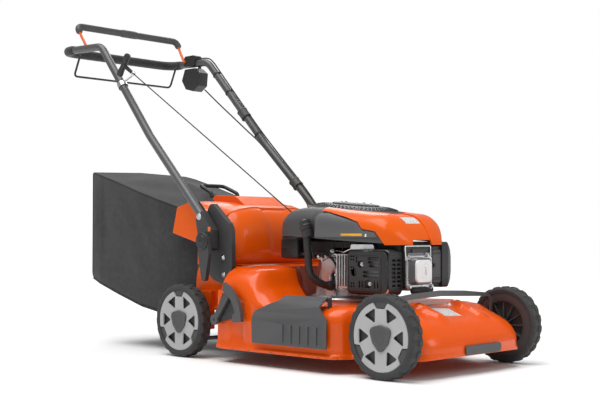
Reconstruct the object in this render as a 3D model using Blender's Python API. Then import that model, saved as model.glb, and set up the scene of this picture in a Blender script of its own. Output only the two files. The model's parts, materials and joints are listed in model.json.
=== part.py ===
"""Self-propelled rotary lawn mower with a rear grass bag, as one solid for each separate piece.

Frame: metres, +X forward, +Y to the operator's left, +Z up, ground at z = 0, centre plane at y = 0.
"""

from math import atan2, cos, pi, radians, sin, sqrt

import bmesh
import bpy
from mathutils import Matrix, Vector

# ---------------------------------------------------------------- driving dimensions
GAP = 0.0003            # what touching pieces keep between their meshes
SHEET = 0.003           # wall of the pressed and moulded shells

WHEEL_R = 0.105
WHEEL_FACETS = 40
TYRE_BORE = 0.087
WHEEL_IN = 0.241        # |y| of a tyre's inner face
WHEEL_OUT = 0.283
FRONT_X = 0.6675        # front axle at mid travel
REAR_X = -0.0905        # rear axle at mid travel
ARM = 0.05              # swing arm from axle pivot to wheel centre
PIVOT_Z = 0.0975
ARM_DX = sqrt(ARM ** 2 - (WHEEL_R - PIVOT_Z) ** 2)
FRONT_PIVOT = (FRONT_X - ARM_DX, PIVOT_Z)
REAR_PIVOT = (REAR_X + ARM_DX, PIVOT_Z)

BLADE_X = 0.3075        # crankshaft and blade axis
BLADE_R = 0.262
BLADE_Z = 0.078
DECK_Z = 0.165          # engine seat on the deck
DECK_BACK = -0.100
SEAT_R = 0.125

FOLD = (0.015, 0.335)   # handle fold axis, x and z
TUBE_R = 0.0125
TUBE_Y = 0.256          # |y| of the handle tubes at the fold
BAR = (-0.757, 0.966)   # crossbar centre, x and z
GRIP_R = 0.0155

FLAP_HINGE = (0.0045, 0.4265)      # rear flap hinge, x and z
SIDE_HINGE = (-0.250, 0.187)       # side flap hinge, y and z
BAIL_FOOT = (-0.6525, 0.972)       # brake bail pivot, x and z
DRIVE_PIVOT = (-0.695, 0.950)      # drive bail pivot, x and z
LEVER_PIVOT = (0.088, 0.118)       # height lever pivot, x and z

# ---------------------------------------------------------------- materials
PALETTE = {
    "orange_paint": ((0.90, 0.13, 0.01), 0.25, 0.0),
    "orange_plastic": ((0.92, 0.16, 0.02), 0.35, 0.0),
    "gray_plastic": ((0.075, 0.075, 0.08), 0.5, 0.0),
    "black_plastic": ((0.02, 0.02, 0.022), 0.45, 0.0),
    "gray_tube": ((0.07, 0.07, 0.075), 0.4, 0.3),
    "rubber": ((0.03, 0.03, 0.032), 0.85, 0.0),
    "rim_silver": ((0.50, 0.50, 0.51), 0.4, 0.1),
    "aluminium": ((0.62, 0.62, 0.63), 0.35, 0.9),
    "steel": ((0.45, 0.45, 0.46), 0.35, 1.0),
    "cast": ((0.18, 0.18, 0.19), 0.6, 0.8),
    "fabric": ((0.06, 0.06, 0.062), 0.95, 0.0),
}


def material(name):
    """The named entry of the palette as a Principled material."""
    colour, rough, metal = PALETTE[name]
    mat = bpy.data.materials.get(name) or bpy.data.materials.new(name)
    mat.use_nodes = True
    shader = mat.node_tree.nodes["Principled BSDF"]
    shader.inputs["Base Color"].default_value = (*colour, 1.0)
    shader.inputs["Roughness"].default_value = rough
    shader.inputs["Metallic"].default_value = metal
    return mat


# ---------------------------------------------------------------- shapes
def skin(rings, closed=False):
    """A closed skin over rings of equal length, with flat ends unless the rings close on themselves."""
    bm = bmesh.new()
    rows = [[bm.verts.new(p) for p in ring] for ring in rings]
    count = len(rows[0])
    pairs = list(zip(rows, rows[1:] + rows[:1])) if closed else list(zip(rows, rows[1:]))
    for a, b in pairs:
        for i in range(count):
            j = (i + 1) % count
            bm.faces.new((a[i], a[j], b[j], b[i]))
    if not closed:
        bm.faces.new(list(reversed(rows[0])))
        bm.faces.new(rows[-1])
    bmesh.ops.recalc_face_normals(bm, faces=bm.faces)
    return bm


def prism(outline, axis, low, high):
    """An outline extruded along one axis; its points lie in the other two axes, in X, Y, Z order."""
    place = {"X": lambda p, h: (h, p[0], p[1]),
             "Y": lambda p, h: (p[0], h, p[1]),
             "Z": lambda p, h: (p[0], p[1], h)}[axis]
    return skin([[place(p, h) for p in outline] for h in (low, high)])


def box(low, high):
    """An upright block between two corners."""
    corners = [(low[0], low[1]), (high[0], low[1]), (high[0], high[1]), (low[0], high[1])]
    return prism(corners, "Z", low[2], high[2])


def arc(centre, radius, start, end, steps):
    """Points along a circle's arc, angles in degrees, both ends included."""
    angles = [radians(start + (end - start) * i / steps) for i in range(steps + 1)]
    return [(centre[0] + radius * cos(a), centre[1] + radius * sin(a)) for a in angles]


def rounded_rect(low, high, radius, steps=3):
    """A rectangle's outline with round corners."""
    points = []
    for cx, cy, start in ((high[0] - radius, low[1] + radius, -90),
                          (high[0] - radius, high[1] - radius, 0),
                          (low[0] + radius, high[1] - radius, 90),
                          (low[0] + radius, low[1] + radius, 180)):
        points += arc((cx, cy), radius, start, start + 90, steps)
    return points


def frame_of(direction):
    """Two unit vectors square to a direction and to each other."""
    d = Vector(direction).normalized()
    side = d.cross(Vector((0, 0, 1))) if abs(d.z) < 0.9 else d.cross(Vector((0, 1, 0)))
    side.normalize()
    return side, side.cross(d)


def turned(profile, origin, direction, steps=32, phase=0.0):
    """A closed profile of (radius, height) points turned once about an axis through origin."""
    d = Vector(direction).normalized()
    side, up = frame_of(d)
    rings = []
    for i in range(steps):
        a = phase + 2 * pi * i / steps
        out = side * cos(a) + up * sin(a)
        rings.append([Vector(origin) + out * r + d * h for r, h in profile])
    return skin(rings, closed=True)


def rod(start, end, radius, sides=16, end_radius=None):
    """A straight round bar, or a cone when end_radius is given."""
    a, b = Vector(start), Vector(end)
    side, up = frame_of(b - a)
    rings = []
    for centre, r in ((a, radius), (b, radius if end_radius is None else end_radius)):
        rings.append([centre + (side * cos(2 * pi * k / sides) + up * sin(2 * pi * k / sides)) * r
                      for k in range(sides)])
    return skin(rings)


def bent(points, radius, steps=4):
    """A path's corners replaced by round bends of the given radius."""
    path = [Vector(points[0])]
    last = len(points) - 2
    for n, (before, corner, after) in enumerate(zip(points, points[1:], points[2:]), start=1):
        b, c, a = Vector(before), Vector(corner), Vector(after)
        u, v = (b - c).normalized(), (a - c).normalized()
        half_turn = u.angle(v) / 2
        room_before = (b - c).length * (0.95 if n == 1 else 0.45)
        room_after = (a - c).length * (0.95 if n == last else 0.45)
        cut = min(radius * cos(half_turn) / sin(half_turn), room_before, room_after)
        p, q = c + u * cut, c + v * cut
        for k in range(steps + 1):
            t = k / steps
            path.append(p * (1 - t) ** 2 + c * 2 * t * (1 - t) + q * t ** 2)
    path.append(Vector(points[-1]))
    return path


def swept(path, radius, sides=12, flat=1.0):
    """A round bar along a path; flat squeezes the section along its second direction."""
    path = [Vector(p) for p in path]
    tangents = []
    for i, p in enumerate(path):
        ahead = path[min(i + 1, len(path) - 1)] - path[max(i - 1, 0)]
        tangents.append(ahead.normalized())
    side, up = frame_of(tangents[0])
    rings = []
    for p, t in zip(path, tangents):
        side = (side - t * side.dot(t)).normalized()
        up = side.cross(t)
        turns = [2 * pi * k / sides for k in range(sides)]
        rings.append([p + side * (radius * cos(a)) + up * (radius * flat * sin(a)) for a in turns])
    return skin(rings)


# ---------------------------------------------------------------- objects
def raw(name, bm, mat):
    """A mesh object made from a bmesh."""
    mesh = bpy.data.meshes.new(name)
    bm.to_mesh(mesh)
    bm.free()
    mesh.shade_smooth()
    mesh.set_sharp_from_angle(angle=radians(35))
    mesh.materials.append(mat)
    thing = bpy.data.objects.new(name, mesh)
    bpy.context.scene.collection.objects.link(thing)
    return thing


def helper(name, bm):
    """A hidden object for a Boolean modifier to read."""
    thing = raw(name, bm, material("steel"))
    thing.hide_render = True
    thing.display_type = "WIRE"
    return thing


def combine(target, operation, tool):
    """A Boolean modifier on target with the exact solver."""
    boolean = target.modifiers.new(operation.lower(), "BOOLEAN")
    boolean.operation = operation
    boolean.solver = "EXACT"
    boolean.object = tool


def piece(name, base, mat, plus=(), minus=(), late=(), pivot=None):
    """A named solid: base, joined with plus, cut by minus, joined with late, its origin at pivot."""
    thing = raw(name, base, material(mat))
    for i, bm in enumerate(plus):
        combine(thing, "UNION", helper(f"{name}_add_{i}", bm))
    for i, bm in enumerate(minus):
        combine(thing, "DIFFERENCE", helper(f"{name}_cut_{i}", bm))
    for i, bm in enumerate(late):
        combine(thing, "UNION", helper(f"{name}_late_{i}", bm))
    if pivot:
        thing.data.transform(Matrix.Translation(-Vector(pivot)))
        thing.location = pivot
    return thing


def both_sides(build):
    """Call build(name ending, sign of y) for the right and the left side."""
    for side, sign in (("right", -1), ("left", 1)):
        build(side, sign)


# ---------------------------------------------------------------- deck
# x, half width, side wall top, top half width, top height, skirt bottom
DECK_STATIONS = (
    (DECK_BACK, 0.205, 0.205, 0.188, 0.262, 0.135),
    (0.018, 0.205, 0.205, 0.190, 0.265, 0.135),
    (0.045, 0.215, 0.190, 0.205, 0.265, 0.050),
    (0.085, 0.284, 0.180, 0.208, 0.265, 0.040),
    (0.130, 0.284, 0.190, 0.208, 0.264, 0.038),
    (0.195, 0.284, 0.175, 0.205, 0.257, 0.038),
    (0.240, 0.284, 0.158, 0.202, 0.205, 0.038),
    (0.290, 0.284, 0.142, 0.205, 0.174, 0.038),
    (0.400, 0.284, 0.128, 0.225, 0.168, 0.038),
    (0.490, 0.282, 0.128, 0.225, 0.170, 0.038),
    (0.525, 0.262, 0.130, 0.210, 0.171, 0.038),
    (0.541, 0.234, 0.130, 0.195, 0.172, 0.038),
    (0.575, 0.226, 0.130, 0.190, 0.172, 0.040),
    (0.620, 0.225, 0.124, 0.165, 0.170, 0.041),
    (0.668, 0.224, 0.108, 0.135, 0.154, 0.042),
    (0.720, 0.215, 0.090, 0.125, 0.132, 0.044),
    (0.745, 0.195, 0.078, 0.115, 0.106, 0.046),
    (0.7545, 0.170, 0.072, 0.105, 0.088, 0.048),
)
LIP = 0.006


def deck_section(station, inset, drop):
    """One cross-section of the deck, drawn in by inset and open to below by drop."""
    x, half, wall_top, top_half, top, bottom = station
    half, top = half - inset, top - inset
    wall_top, top_half = wall_top - inset / 2, top_half - inset / 2
    low = bottom - drop
    side = []
    if inset == 0:
        side += [(half + LIP, low), (half + LIP, low + 0.008), (half, low + 0.012)]
    else:
        side += [(half, low), (half, low + 0.008), (half, low + 0.012)]
    for k in range(4):
        a = radians(90 * k / 3)
        side.append((top_half + (half - top_half) * cos(a), wall_top + (top - wall_top) * sin(a)))
    return [(x, y, z) for y, z in side] + [(x, -y, z) for y, z in reversed(side)]


def deck_body(name, inset, drop):
    """The deck as a filled body, cut away where the engine seat and the side covers sit."""
    stations = [list(s) for s in DECK_STATIONS]
    if inset:
        stations[0][0] -= 0.05
        stations[-1][0] -= SHEET
    body = raw(name, skin([deck_section(s, inset, drop) for s in stations]), material("orange_paint"))
    seat = rod((BLADE_X, 0, DECK_Z - inset), (BLADE_X, 0, 0.4), SEAT_R + inset, 28)
    combine(body, "DIFFERENCE", helper(f"{name}_seat", seat))
    for sign in (-1, 1):
        near, far = sorted((sign * (0.2222 - inset), sign * 0.35))
        pocket = box((-0.2, near, 0.199 - inset), (0.0965 + inset, far, 0.4))
        combine(body, "DIFFERENCE", helper(f"{name}_pocket_{sign}", pocket))
    return body


def deck_shell():
    """Pressed steel deck: an open-bottomed shell with its holes, axle lugs and side-flap lugs."""
    shell = deck_body("deck_shell", 0.0, 0.0)
    inner = deck_body("deck_inside", SHEET, 0.06)
    inner.hide_render = True
    inner.display_type = "WIRE"
    combine(shell, "DIFFERENCE", inner)
    lugs = []
    for sign in (-1, 1):
        near, far = sorted((sign * 0.2035, sign * 0.2215))
        lugs.append(box((REAR_PIVOT[0] - 0.022, near, 0.080), (REAR_PIVOT[0] + 0.022, far, 0.190)))
    for x in (0.3095, 0.4715):
        lugs.append(box((x, -0.2565, 0.150), (x + 0.005, -0.243, 0.1935)))
    for i, bm in enumerate(lugs):
        combine(shell, "UNION", helper(f"deck_lug_{i}", bm))
    holes = [rod((BLADE_X, 0, 0.1), (BLADE_X, 0, 0.3), 0.0135, 24),
             box((DECK_BACK + 0.006, -0.178, 0.24), (0.052, 0.178, 0.30)),
             box((0.245, -0.35, 0.070), (0.470, -0.22, 0.124)),
             rod((FRONT_PIVOT[0], -0.3, PIVOT_Z), (FRONT_PIVOT[0], 0.3, PIVOT_Z), 0.0063, 16),
             rod((REAR_PIVOT[0], -0.3, PIVOT_Z), (REAR_PIVOT[0], 0.3, PIVOT_Z), 0.0083, 16),
             rod((0.30, SIDE_HINGE[0], SIDE_HINGE[1]), (0.48, SIDE_HINGE[0], SIDE_HINGE[1]), 0.0028,
                 12)]
    for i, bm in enumerate(holes):
        combine(shell, "DIFFERENCE", helper(f"deck_hole_{i}", bm))


def front_bumper():
    """Moulded insert on the deck's nose."""
    face = DECK_STATIONS[-1][0] + GAP
    outline = rounded_rect((-0.055, 0.050), (0.100, 0.074), 0.008)
    piece("front_bumper", prism(outline, "X", face, face + 0.006), "gray_plastic")


def rear_baffle():
    """Plate that closes the blade chamber behind and makes the discharge duct's floor."""
    outline = [(0.0300, 0.046), (0.0325, 0.046), (0.0325, 0.1535), (DECK_BACK, 0.1665),
               (DECK_BACK, 0.1640),
               (0.0300, 0.1510)]
    slot = box((0.0, -0.048, 0.128), (0.06, 0.048, 0.1485))
    piece("rear_baffle", prism(outline, "Y", -0.2012, 0.2012), "black_plastic", minus=[slot])


def rear_housing():
    """Moulded duct housing on the back of the deck, open below, behind and under the flap."""
    low = 0.2655
    front = [(0.066, low), (0.066, 0.380)] + arc((0.030, 0.380), 0.036, 15, 75, 3) + [(0.0125, 0.431)]
    inside = ([(0.063, low - 0.02), (0.063, 0.379)] + arc((0.030, 0.379), 0.033, 15, 75, 3)
              + [(0.0125, 0.4265)])
    outline = [(DECK_BACK, low)] + front + [(0.0125, 0.416), (-0.020, 0.420), (DECK_BACK, 0.420)]
    hollow = ([(DECK_BACK - 0.02, low - 0.02)] + inside
              + [(0.0125, 0.45), (DECK_BACK - 0.02, 0.45)])
    pins = rod((FLAP_HINGE[0], -0.3, FLAP_HINGE[1]), (FLAP_HINGE[0], 0.3, FLAP_HINGE[1]), 0.0068, 16)
    piece("rear_housing", prism(outline, "Y", -0.2000, 0.2000), "orange_plastic",
          minus=[prism(hollow, "Y", -0.197, 0.197), pins])


def rear_flap():
    """Hinged hood over the bag's mouth, with a raised finger pocket and a cheek on each side."""
    hx, hz = FLAP_HINGE
    top = [(hx, 0.4325), (-0.030, 0.443), (-0.0655, 0.450), (-0.150, 0.455), (-0.1635, 0.448)]
    bottom = [(-0.1620, 0.430), (-0.150, 0.418), (-0.030, 0.418), (hx, 0.4225)]
    inside = [(hx - 0.012, 0.4335), (-0.030, 0.4395), (-0.0655, 0.4465), (-0.147, 0.4515),
              (-0.1605, 0.446), (-0.1645, 0.40), (hx - 0.012, 0.40)]
    half = 0.2045
    barrel = rod((hx, -0.196, hz), (hx, 0.196, hz), 0.0060, 16)
    pocket = [(-0.1600, 0.450), (-0.1625, 0.466), (-0.1520, 0.4735), (-0.0620, 0.4695),
              (-0.0180, 0.4425)]
    cheek = [(-0.102, 0.4476), (-0.1564, 0.4400), (-0.1735, 0.3651), (-0.0386, 0.3238), (-0.030, 0.340)]
    plus = [prism(pocket, "Y", -0.085, 0.085)]
    for sign in (-1, 1):
        near, far = sorted((sign * 0.2020, sign * 0.2165))
        plus.append(prism(cheek, "Y", near, far))
    recess = prism([(-0.140, 0.500), (-0.140, 0.4595), (-0.066, 0.4570), (-0.066, 0.500)], "Y",
                   -0.060, 0.060)
    piece("rear_flap", prism(top + bottom, "Y", -half, half), "orange_plastic", plus=plus,
          minus=[prism(inside, "Y", -half + SHEET, half - SHEET), recess], late=[barrel],
          pivot=(hx, 0, hz))


def side_flap():
    """Sprung cover of the side discharge, with stiffening ribs on its lower half."""
    hy, hz = SIDE_HINGE
    section = [(hy - 0.004, hz + 0.004), (hy - 0.020, hz - 0.004), (hy - 0.036, hz - 0.018),
               (hy - 0.047, hz - 0.042), (hy - 0.0485, 0.064), (hy - 0.0455, 0.064),
               (hy - 0.0440, hz - 0.043),
               (hy - 0.0335, hz - 0.021), (hy - 0.019, hz - 0.0075), (hy - 0.003, hz - 0.001)]
    plus = [rod((0.3180, hy, hz), (0.4670, hy, hz), 0.0055, 16),
            rod((0.3090, hy, hz), (0.4770, hy, hz), 0.0025, 12)]
    for i in range(5):
        x = 0.350 + 0.030 * i
        plus.append(box((x, hy - 0.0505, 0.072), (x + 0.003, hy - 0.0465, 0.118)))
    corners = [prism([(0.20, 0.150), (0.244, 0.150), (0.3155, 0.181), (0.3155, 0.25), (0.20, 0.25)],
                     "Y", -0.4, 0),
               prism([(0.4695, 0.25), (0.4695, 0.168), (0.480, 0.160), (0.496, 0.146), (0.56, 0.110),
                      (0.56, 0.25)],
                     "Y", -0.4, 0),
               prism([(0.20, 0.05), (0.236, 0.05), (0.232, 0.13), (0.244, 0.1501), (0.20, 0.1501)],
                     "Y", -0.4, 0)]
    piece("side_flap", prism(section, "X", 0.2275, 0.5050), "gray_plastic", plus=plus, minus=corners,
          pivot=(0.39, hy, hz))


def side_cover(side, sign):
    """Bracket plate that ties the handle's fold joint to the deck."""
    outline = [(-0.012, 0.425), (-0.002, 0.440), (0.012, 0.442), (0.078, 0.385), (0.088, 0.367),
               (0.0916, 0.269),
               (0.0896, 0.252), (0.0846, 0.2040), (0.014, 0.2230), (-0.0229, 0.2565), (-0.012, 0.300)]
    near, far = sorted((sign * 0.2225, sign * 0.2400))
    bolt = rod((FOLD[0], sign * 0.2390, FOLD[1]), (FOLD[0], sign * 0.2745, FOLD[1]), 0.005, 16)
    piece(f"side_cover_{side}", prism(outline, "Y", near, far), "gray_plastic", plus=[bolt])


def height_quadrant():
    """Toothed plate that the height lever locks into."""
    cx, cz = LEVER_PIVOT
    outline = [(cx, cz - 0.012)]
    for k in range(9):
        a = 8 + 7.0 * k
        outline += arc((cx, cz), 0.084, a, a + 3.0, 1) + arc((cx, cz), 0.079, a + 3.5, a + 6.5, 1)
    outline.append((cx - 0.012, cz))
    pin = rod((cx, -0.2930, cz), (cx, -0.3045, cz), 0.005, 12)
    piece("height_quadrant", prism(outline, "Y", -0.2945, -0.2906), "black_plastic", plus=[pin])


def height_lever():
    """Sickle-shaped hand lever outside the quadrant."""
    cx, cz = LEVER_PIVOT
    outer = arc((cx, cz), 0.112, 0, 68, 8)
    inner = arc((cx, cz), 0.090, 66, 14, 7)
    outline = outer + inner + [(cx + 0.078, cz + 0.018), (cx + 0.076, cz - 0.004)]
    spoke = prism([(cx - 0.012, cz - 0.004), (cx + 0.002, cz - 0.012), (cx + 0.068, cz + 0.074),
                   (cx + 0.050, cz + 0.086)], "Y", -0.3035, -0.2952)
    boss = rod((cx, -0.2950, cz), (cx, -0.3040, cz), 0.014, 20)
    hole = rod((cx, -0.28, cz), (cx, -0.32, cz), 0.0053, 12)
    piece("height_lever", prism(outline, "Y", -0.3060, -0.2950), "gray_plastic", plus=[spoke, boss],
          minus=[hole],
          pivot=(cx, -0.3, cz))


# ---------------------------------------------------------------- wheels and axles
def wheel(name, x, sign):
    """Tyre and rim of one wheel, turned about its own axle."""
    centre = (x, sign * WHEEL_IN, WHEEL_R)
    out = (0, sign, 0)
    width = WHEEL_OUT - WHEEL_IN
    corner = WHEEL_R / cos(pi / WHEEL_FACETS)
    tread = [(TYRE_BORE, 0.001), (0.098, 0.0), (corner, 0.005), (corner, width - 0.005), (0.098, width),
             (TYRE_BORE, width - 0.001)]
    half_facet = pi / WHEEL_FACETS
    piece(f"tyre_{name}", turned(tread, centre, out, WHEEL_FACETS, half_facet), "rubber", pivot=centre)
    edge = TYRE_BORE - GAP
    disc = [(0.0063, 0.0015), (0.016, 0.0015), (0.016, 0.020), (0.0625, 0.020), (0.0625, 0.003),
            (edge, 0.003),
            (edge, width - 0.003), (0.078, width - 0.003), (0.070, 0.030), (0.016, 0.033),
            (0.0063, 0.033)]
    windows = []
    for k in range(6):
        a = radians(60 * k)
        tip, base, wide = 0.036, 0.0605, 0.0170
        flat = [(cos(a) * tip, sin(a) * tip),
                (cos(a) * base - sin(a) * wide, sin(a) * base + cos(a) * wide),
                (cos(a) * base + sin(a) * wide, sin(a) * base - cos(a) * wide)]
        near, far = sorted((sign * (WHEEL_IN + 0.015), sign * (WHEEL_IN + 0.035)))
        windows.append(prism([(x + u, WHEEL_R + v) for u, v in flat], "Y", near, far))
    rim = piece(f"rim_{name}", turned(disc, centre, out, 20), "rim_silver", minus=windows)
    rim.data.transform(Matrix.Translation(-Vector(centre)))
    rim.location = centre


def hull_of_circles(circles, steps=8):
    """The outline of a band round circles given in order, anticlockwise, as (x, z, radius)."""
    points = []
    count = len(circles)
    for i, (x, z, r) in enumerate(circles):
        before, after = circles[i - 1], circles[(i + 1) % count]
        start = atan2(z - before[1], x - before[0]) - pi / 2
        end = atan2(after[1] - z, after[0] - x) - pi / 2
        while end < start:
            end += 2 * pi
        points += [(x + r * cos(start + (end - start) * k / steps),
                    z + r * sin(start + (end - start) * k / steps))
                   for k in range(steps + 1)]
    return points


CARRIER_IN = 0.2285
CARRIER_OUT = 0.2365


def rear_axle():
    """Both rear swing arms, tied by a bar below the drive shaft, with a stub axle for each wheel."""
    px, pz = REAR_PIVOT
    bar = (px, pz - 0.045)
    tie = rod((bar[0], -CARRIER_IN - 0.004, bar[1]), (bar[0], CARRIER_IN + 0.004, bar[1]), 0.006, 16)
    plates, stubs, holes = [], [], []
    for sign in (-1, 1):
        near, far = sorted((sign * CARRIER_IN, sign * CARRIER_OUT))
        outline = hull_of_circles([(px, pz, 0.016), (REAR_X, WHEEL_R, 0.015),
                                   (bar[0], bar[1], 0.011)], 6)
        plates.append(prism(outline, "Y", near, far))
        stubs.append(rod((REAR_X, sign * (CARRIER_IN + 0.002), WHEEL_R),
                         (REAR_X, sign * 0.2765, WHEEL_R), 0.006, 16))
        holes.append(rod((px, sign * 0.22, pz), (px, sign * 0.25, pz), 0.0083, 16))
    piece("rear_axle", tie, "steel", plus=plates + stubs, minus=holes, pivot=(px, 0, pz))


def front_axle():
    """Arched bar over the deck with a swing arm, pivot pin and stub axle at each end."""
    px, pz = FRONT_PIVOT
    x = FRONT_X - 0.030
    crown, shoulder = 0.1995, 0.186
    rings = []
    path = ([(-0.2325, 0.112), (-0.2325, 0.172), (-0.226, 0.182), (-0.212, shoulder + 0.003)]
            + [(-0.106, 0.1955), (0.0, crown), (0.106, 0.1955)]
            + [(0.212, shoulder + 0.003), (0.226, 0.182), (0.2325, 0.172), (0.2325, 0.112)])
    for i, (y, z) in enumerate(path):
        ahead = Vector(path[min(i + 1, len(path) - 1)]) - Vector(path[max(i - 1, 0)])
        half_height = 0.0075 if abs(y) < 0.15 else 0.0050 if z > shoulder else 0.0038
        n = Vector((-ahead.y, ahead.x)).normalized() * half_height
        rings.append([(x - 0.0030, y + n.x, z + n.y), (x + 0.0030, y + n.x, z + n.y),
                      (x + 0.0030, y - n.x, z - n.y), (x - 0.0030, y - n.x, z - n.y)])
    arms = []
    for sign in (-1, 1):
        near, far = sorted((sign * CARRIER_IN, sign * CARRIER_OUT))
        outline = hull_of_circles([(px, pz, 0.014), (FRONT_X, WHEEL_R, 0.015),
                                   (x + 0.002, 0.128, 0.012)], 6)
        arms.append(prism(outline, "Y", near, far))
        arms.append(rod((px, sign * 0.214, pz), (px, sign * (CARRIER_IN + 0.002), pz), 0.006, 16))
        arms.append(rod((FRONT_X, sign * (CARRIER_IN + 0.002), WHEEL_R),
                        (FRONT_X, sign * 0.2765, WHEEL_R), 0.006, 16))
    piece("front_axle", skin(rings), "steel", plus=arms, pivot=(px, 0, pz))


def drive_shaft():
    """Live shaft across the back with a pinion in each rear wheel's recess."""
    px, pz = REAR_PIVOT
    profile = [(0.0001, -0.2585), (0.0115, -0.2585), (0.0115, -0.2445), (0.008, -0.2445),
               (0.008, 0.2445),
               (0.0115, 0.2445), (0.0115, 0.2585), (0.0001, 0.2585)]
    piece("drive_shaft", turned(profile, (px, 0, pz), (0, 1, 0), 16), "steel", pivot=(px, 0, pz))


def gearbox():
    """Drive gearbox on the shaft, under the duct floor."""
    px, pz = REAR_PIVOT
    outline = hull_of_circles([(px - 0.016, pz - 0.004, 0.016), (px + 0.014, pz - 0.006, 0.016),
                               (px, pz + 0.010, 0.014)], 5)
    shaft = rod((px, -0.1, pz), (px, 0.1, pz), 0.0083, 16)
    spindle = rod((px, 0, 0.115), (px, 0, 0.150), 0.004, 12)
    collar = rod((px, -0.048, pz), (px, 0.048, pz), 0.0145, 20)
    piece("gearbox", prism(outline, "Y", -0.034, 0.034), "aluminium", plus=[collar, spindle],
          minus=[shaft])


BELT_Z = 0.1385
CRANK_PULLEY_R = 0.020
BOX_PULLEY_R = 0.026


def pulley_profile(bore, radius, low):
    """A V-pulley of two flanges round a belt groove."""
    return [(bore, low), (radius, low), (radius, low + 0.0015), (radius - 0.006, low + 0.005),
            (radius, low + 0.0085), (radius, low + 0.010), (bore, low + 0.010)]


def gearbox_pulley():
    """Belt pulley on the gearbox's input spindle."""
    origin = (REAR_PIVOT[0], 0, 0)
    piece("gearbox_pulley", turned(pulley_profile(0.0043, BOX_PULLEY_R, BELT_Z - 0.005), origin,
                                   (0, 0, 1), 24),
          "steel", pivot=(REAR_PIVOT[0], 0, BELT_Z))


def drive_belt():
    """Belt loop round both pulleys, just clear of their groove floors."""
    rear, front = (REAR_PIVOT[0], 0), (BLADE_X, 0)
    clear = 0.0030
    rear_in, front_in = BOX_PULLEY_R - 0.006 + clear, CRANK_PULLEY_R - 0.006 + clear
    loops = []
    for radius_add in (0.0, 0.0045):
        loop = arc(rear, rear_in + radius_add, 90, 270, 10) + arc(front, front_in + radius_add, -90,
                                                                  90, 10)
        loops.append(loop)
    bm = bmesh.new()
    grid = [[bm.verts.new((p[0], p[1], z)) for p in loop]
            for loop, z in ((loops[0], BELT_Z - 0.0012), (loops[1], BELT_Z - 0.0026),
                            (loops[1], BELT_Z + 0.0026), (loops[0], BELT_Z + 0.0012))]
    count = len(loops[0])
    for a, b in zip(grid, grid[1:] + grid[:1]):
        for i in range(count):
            j = (i + 1) % count
            bm.faces.new((a[i], a[j], b[j], b[i]))
    bmesh.ops.recalc_face_normals(bm, faces=bm.faces)
    piece("drive_belt", bm, "rubber")


# ---------------------------------------------------------------- blade and crankshaft
def crankshaft():
    """Vertical crankshaft with its counterweight discs and the drive pulley."""
    profile = [(0.0001, BLADE_Z + 0.0105), (0.024, BLADE_Z + 0.0105), (0.024, 0.096), (0.0125, 0.100)]
    profile += [(0.0125, BELT_Z - 0.005), (CRANK_PULLEY_R, BELT_Z - 0.005),
                (CRANK_PULLEY_R, BELT_Z - 0.0035),
                (CRANK_PULLEY_R - 0.006, BELT_Z), (CRANK_PULLEY_R, BELT_Z + 0.0035),
                (CRANK_PULLEY_R, BELT_Z + 0.005), (0.0125, BELT_Z + 0.005)]
    profile += [(0.0125, 0.232), (0.050, 0.232), (0.050, 0.244), (0.016, 0.244), (0.016, 0.268),
                (0.050, 0.268),
                (0.050, 0.280), (0.0125, 0.280), (0.0125, 0.372), (0.0001, 0.372)]
    piece("crankshaft", turned(profile, (BLADE_X, 0, 0), (0, 0, 1), 16), "steel",
          pivot=(BLADE_X, 0, BELT_Z))


def blade():
    """Cutting bar with swept-up wings at its trailing edges."""
    w, t = 0.028, 0.0045
    rings = []
    for s, lift in ((-BLADE_R, 0.012), (-BLADE_R + 0.055, 0.010), (-BLADE_R + 0.085, 0.0), (0.0, 0.0),
                    (BLADE_R - 0.085, 0.0), (BLADE_R - 0.055, 0.010), (BLADE_R, 0.012)):
        up = lift if s > 0 else 0.0
        down = lift if s < 0 else 0.0
        rings.append([(BLADE_X - w, s, BLADE_Z + down), (BLADE_X + w, s, BLADE_Z + up),
                      (BLADE_X + w, s, BLADE_Z + up + t), (BLADE_X - w, s, BLADE_Z + down + t)])
    hole = rod((BLADE_X, 0, 0.05), (BLADE_X, 0, 0.1), 0.0053, 16)
    piece("blade", skin(rings), "steel", minus=[hole], pivot=(BLADE_X, 0, BLADE_Z))


def blade_bolt():
    """Bolt and washer that hold the blade on the crankshaft."""
    profile = [(0.0001, BLADE_Z - 0.0110), (0.0085, BLADE_Z - 0.0110), (0.0085, BLADE_Z - 0.0035),
               (0.0160, BLADE_Z - 0.0035), (0.0160, BLADE_Z - GAP), (0.0050, BLADE_Z - GAP),
               (0.0050, BLADE_Z + 0.0100), (0.0001, BLADE_Z + 0.0100)]
    piece("blade_bolt", turned(profile, (BLADE_X, 0, 0), (0, 0, 1), 12), "steel",
          pivot=(BLADE_X, 0, BLADE_Z))


def flywheel():
    """Flywheel with fan vanes under the shroud."""
    profile = [(0.0128, 0.336), (0.030, 0.336), (0.030, 0.345), (0.082, 0.345), (0.082, 0.356),
               (0.0128, 0.356)]
    vanes = []
    for k in range(6):
        turn = Matrix.Translation((BLADE_X, 0, 0)) @ Matrix.Rotation(2 * pi * k / 6, 4, "Z")
        vane = box((0.045, -0.0015, 0.352), (0.078, 0.0015, 0.372))
        vane.transform(turn)
        vanes.append(vane)
    piece("flywheel", turned(profile, (BLADE_X, 0, 0), (0, 0, 1), 24), "cast", plus=vanes,
          pivot=(BLADE_X, 0, 0.35))


# ---------------------------------------------------------------- engine
CYL_Y = -0.045
CYL_Z = 0.257


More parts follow.
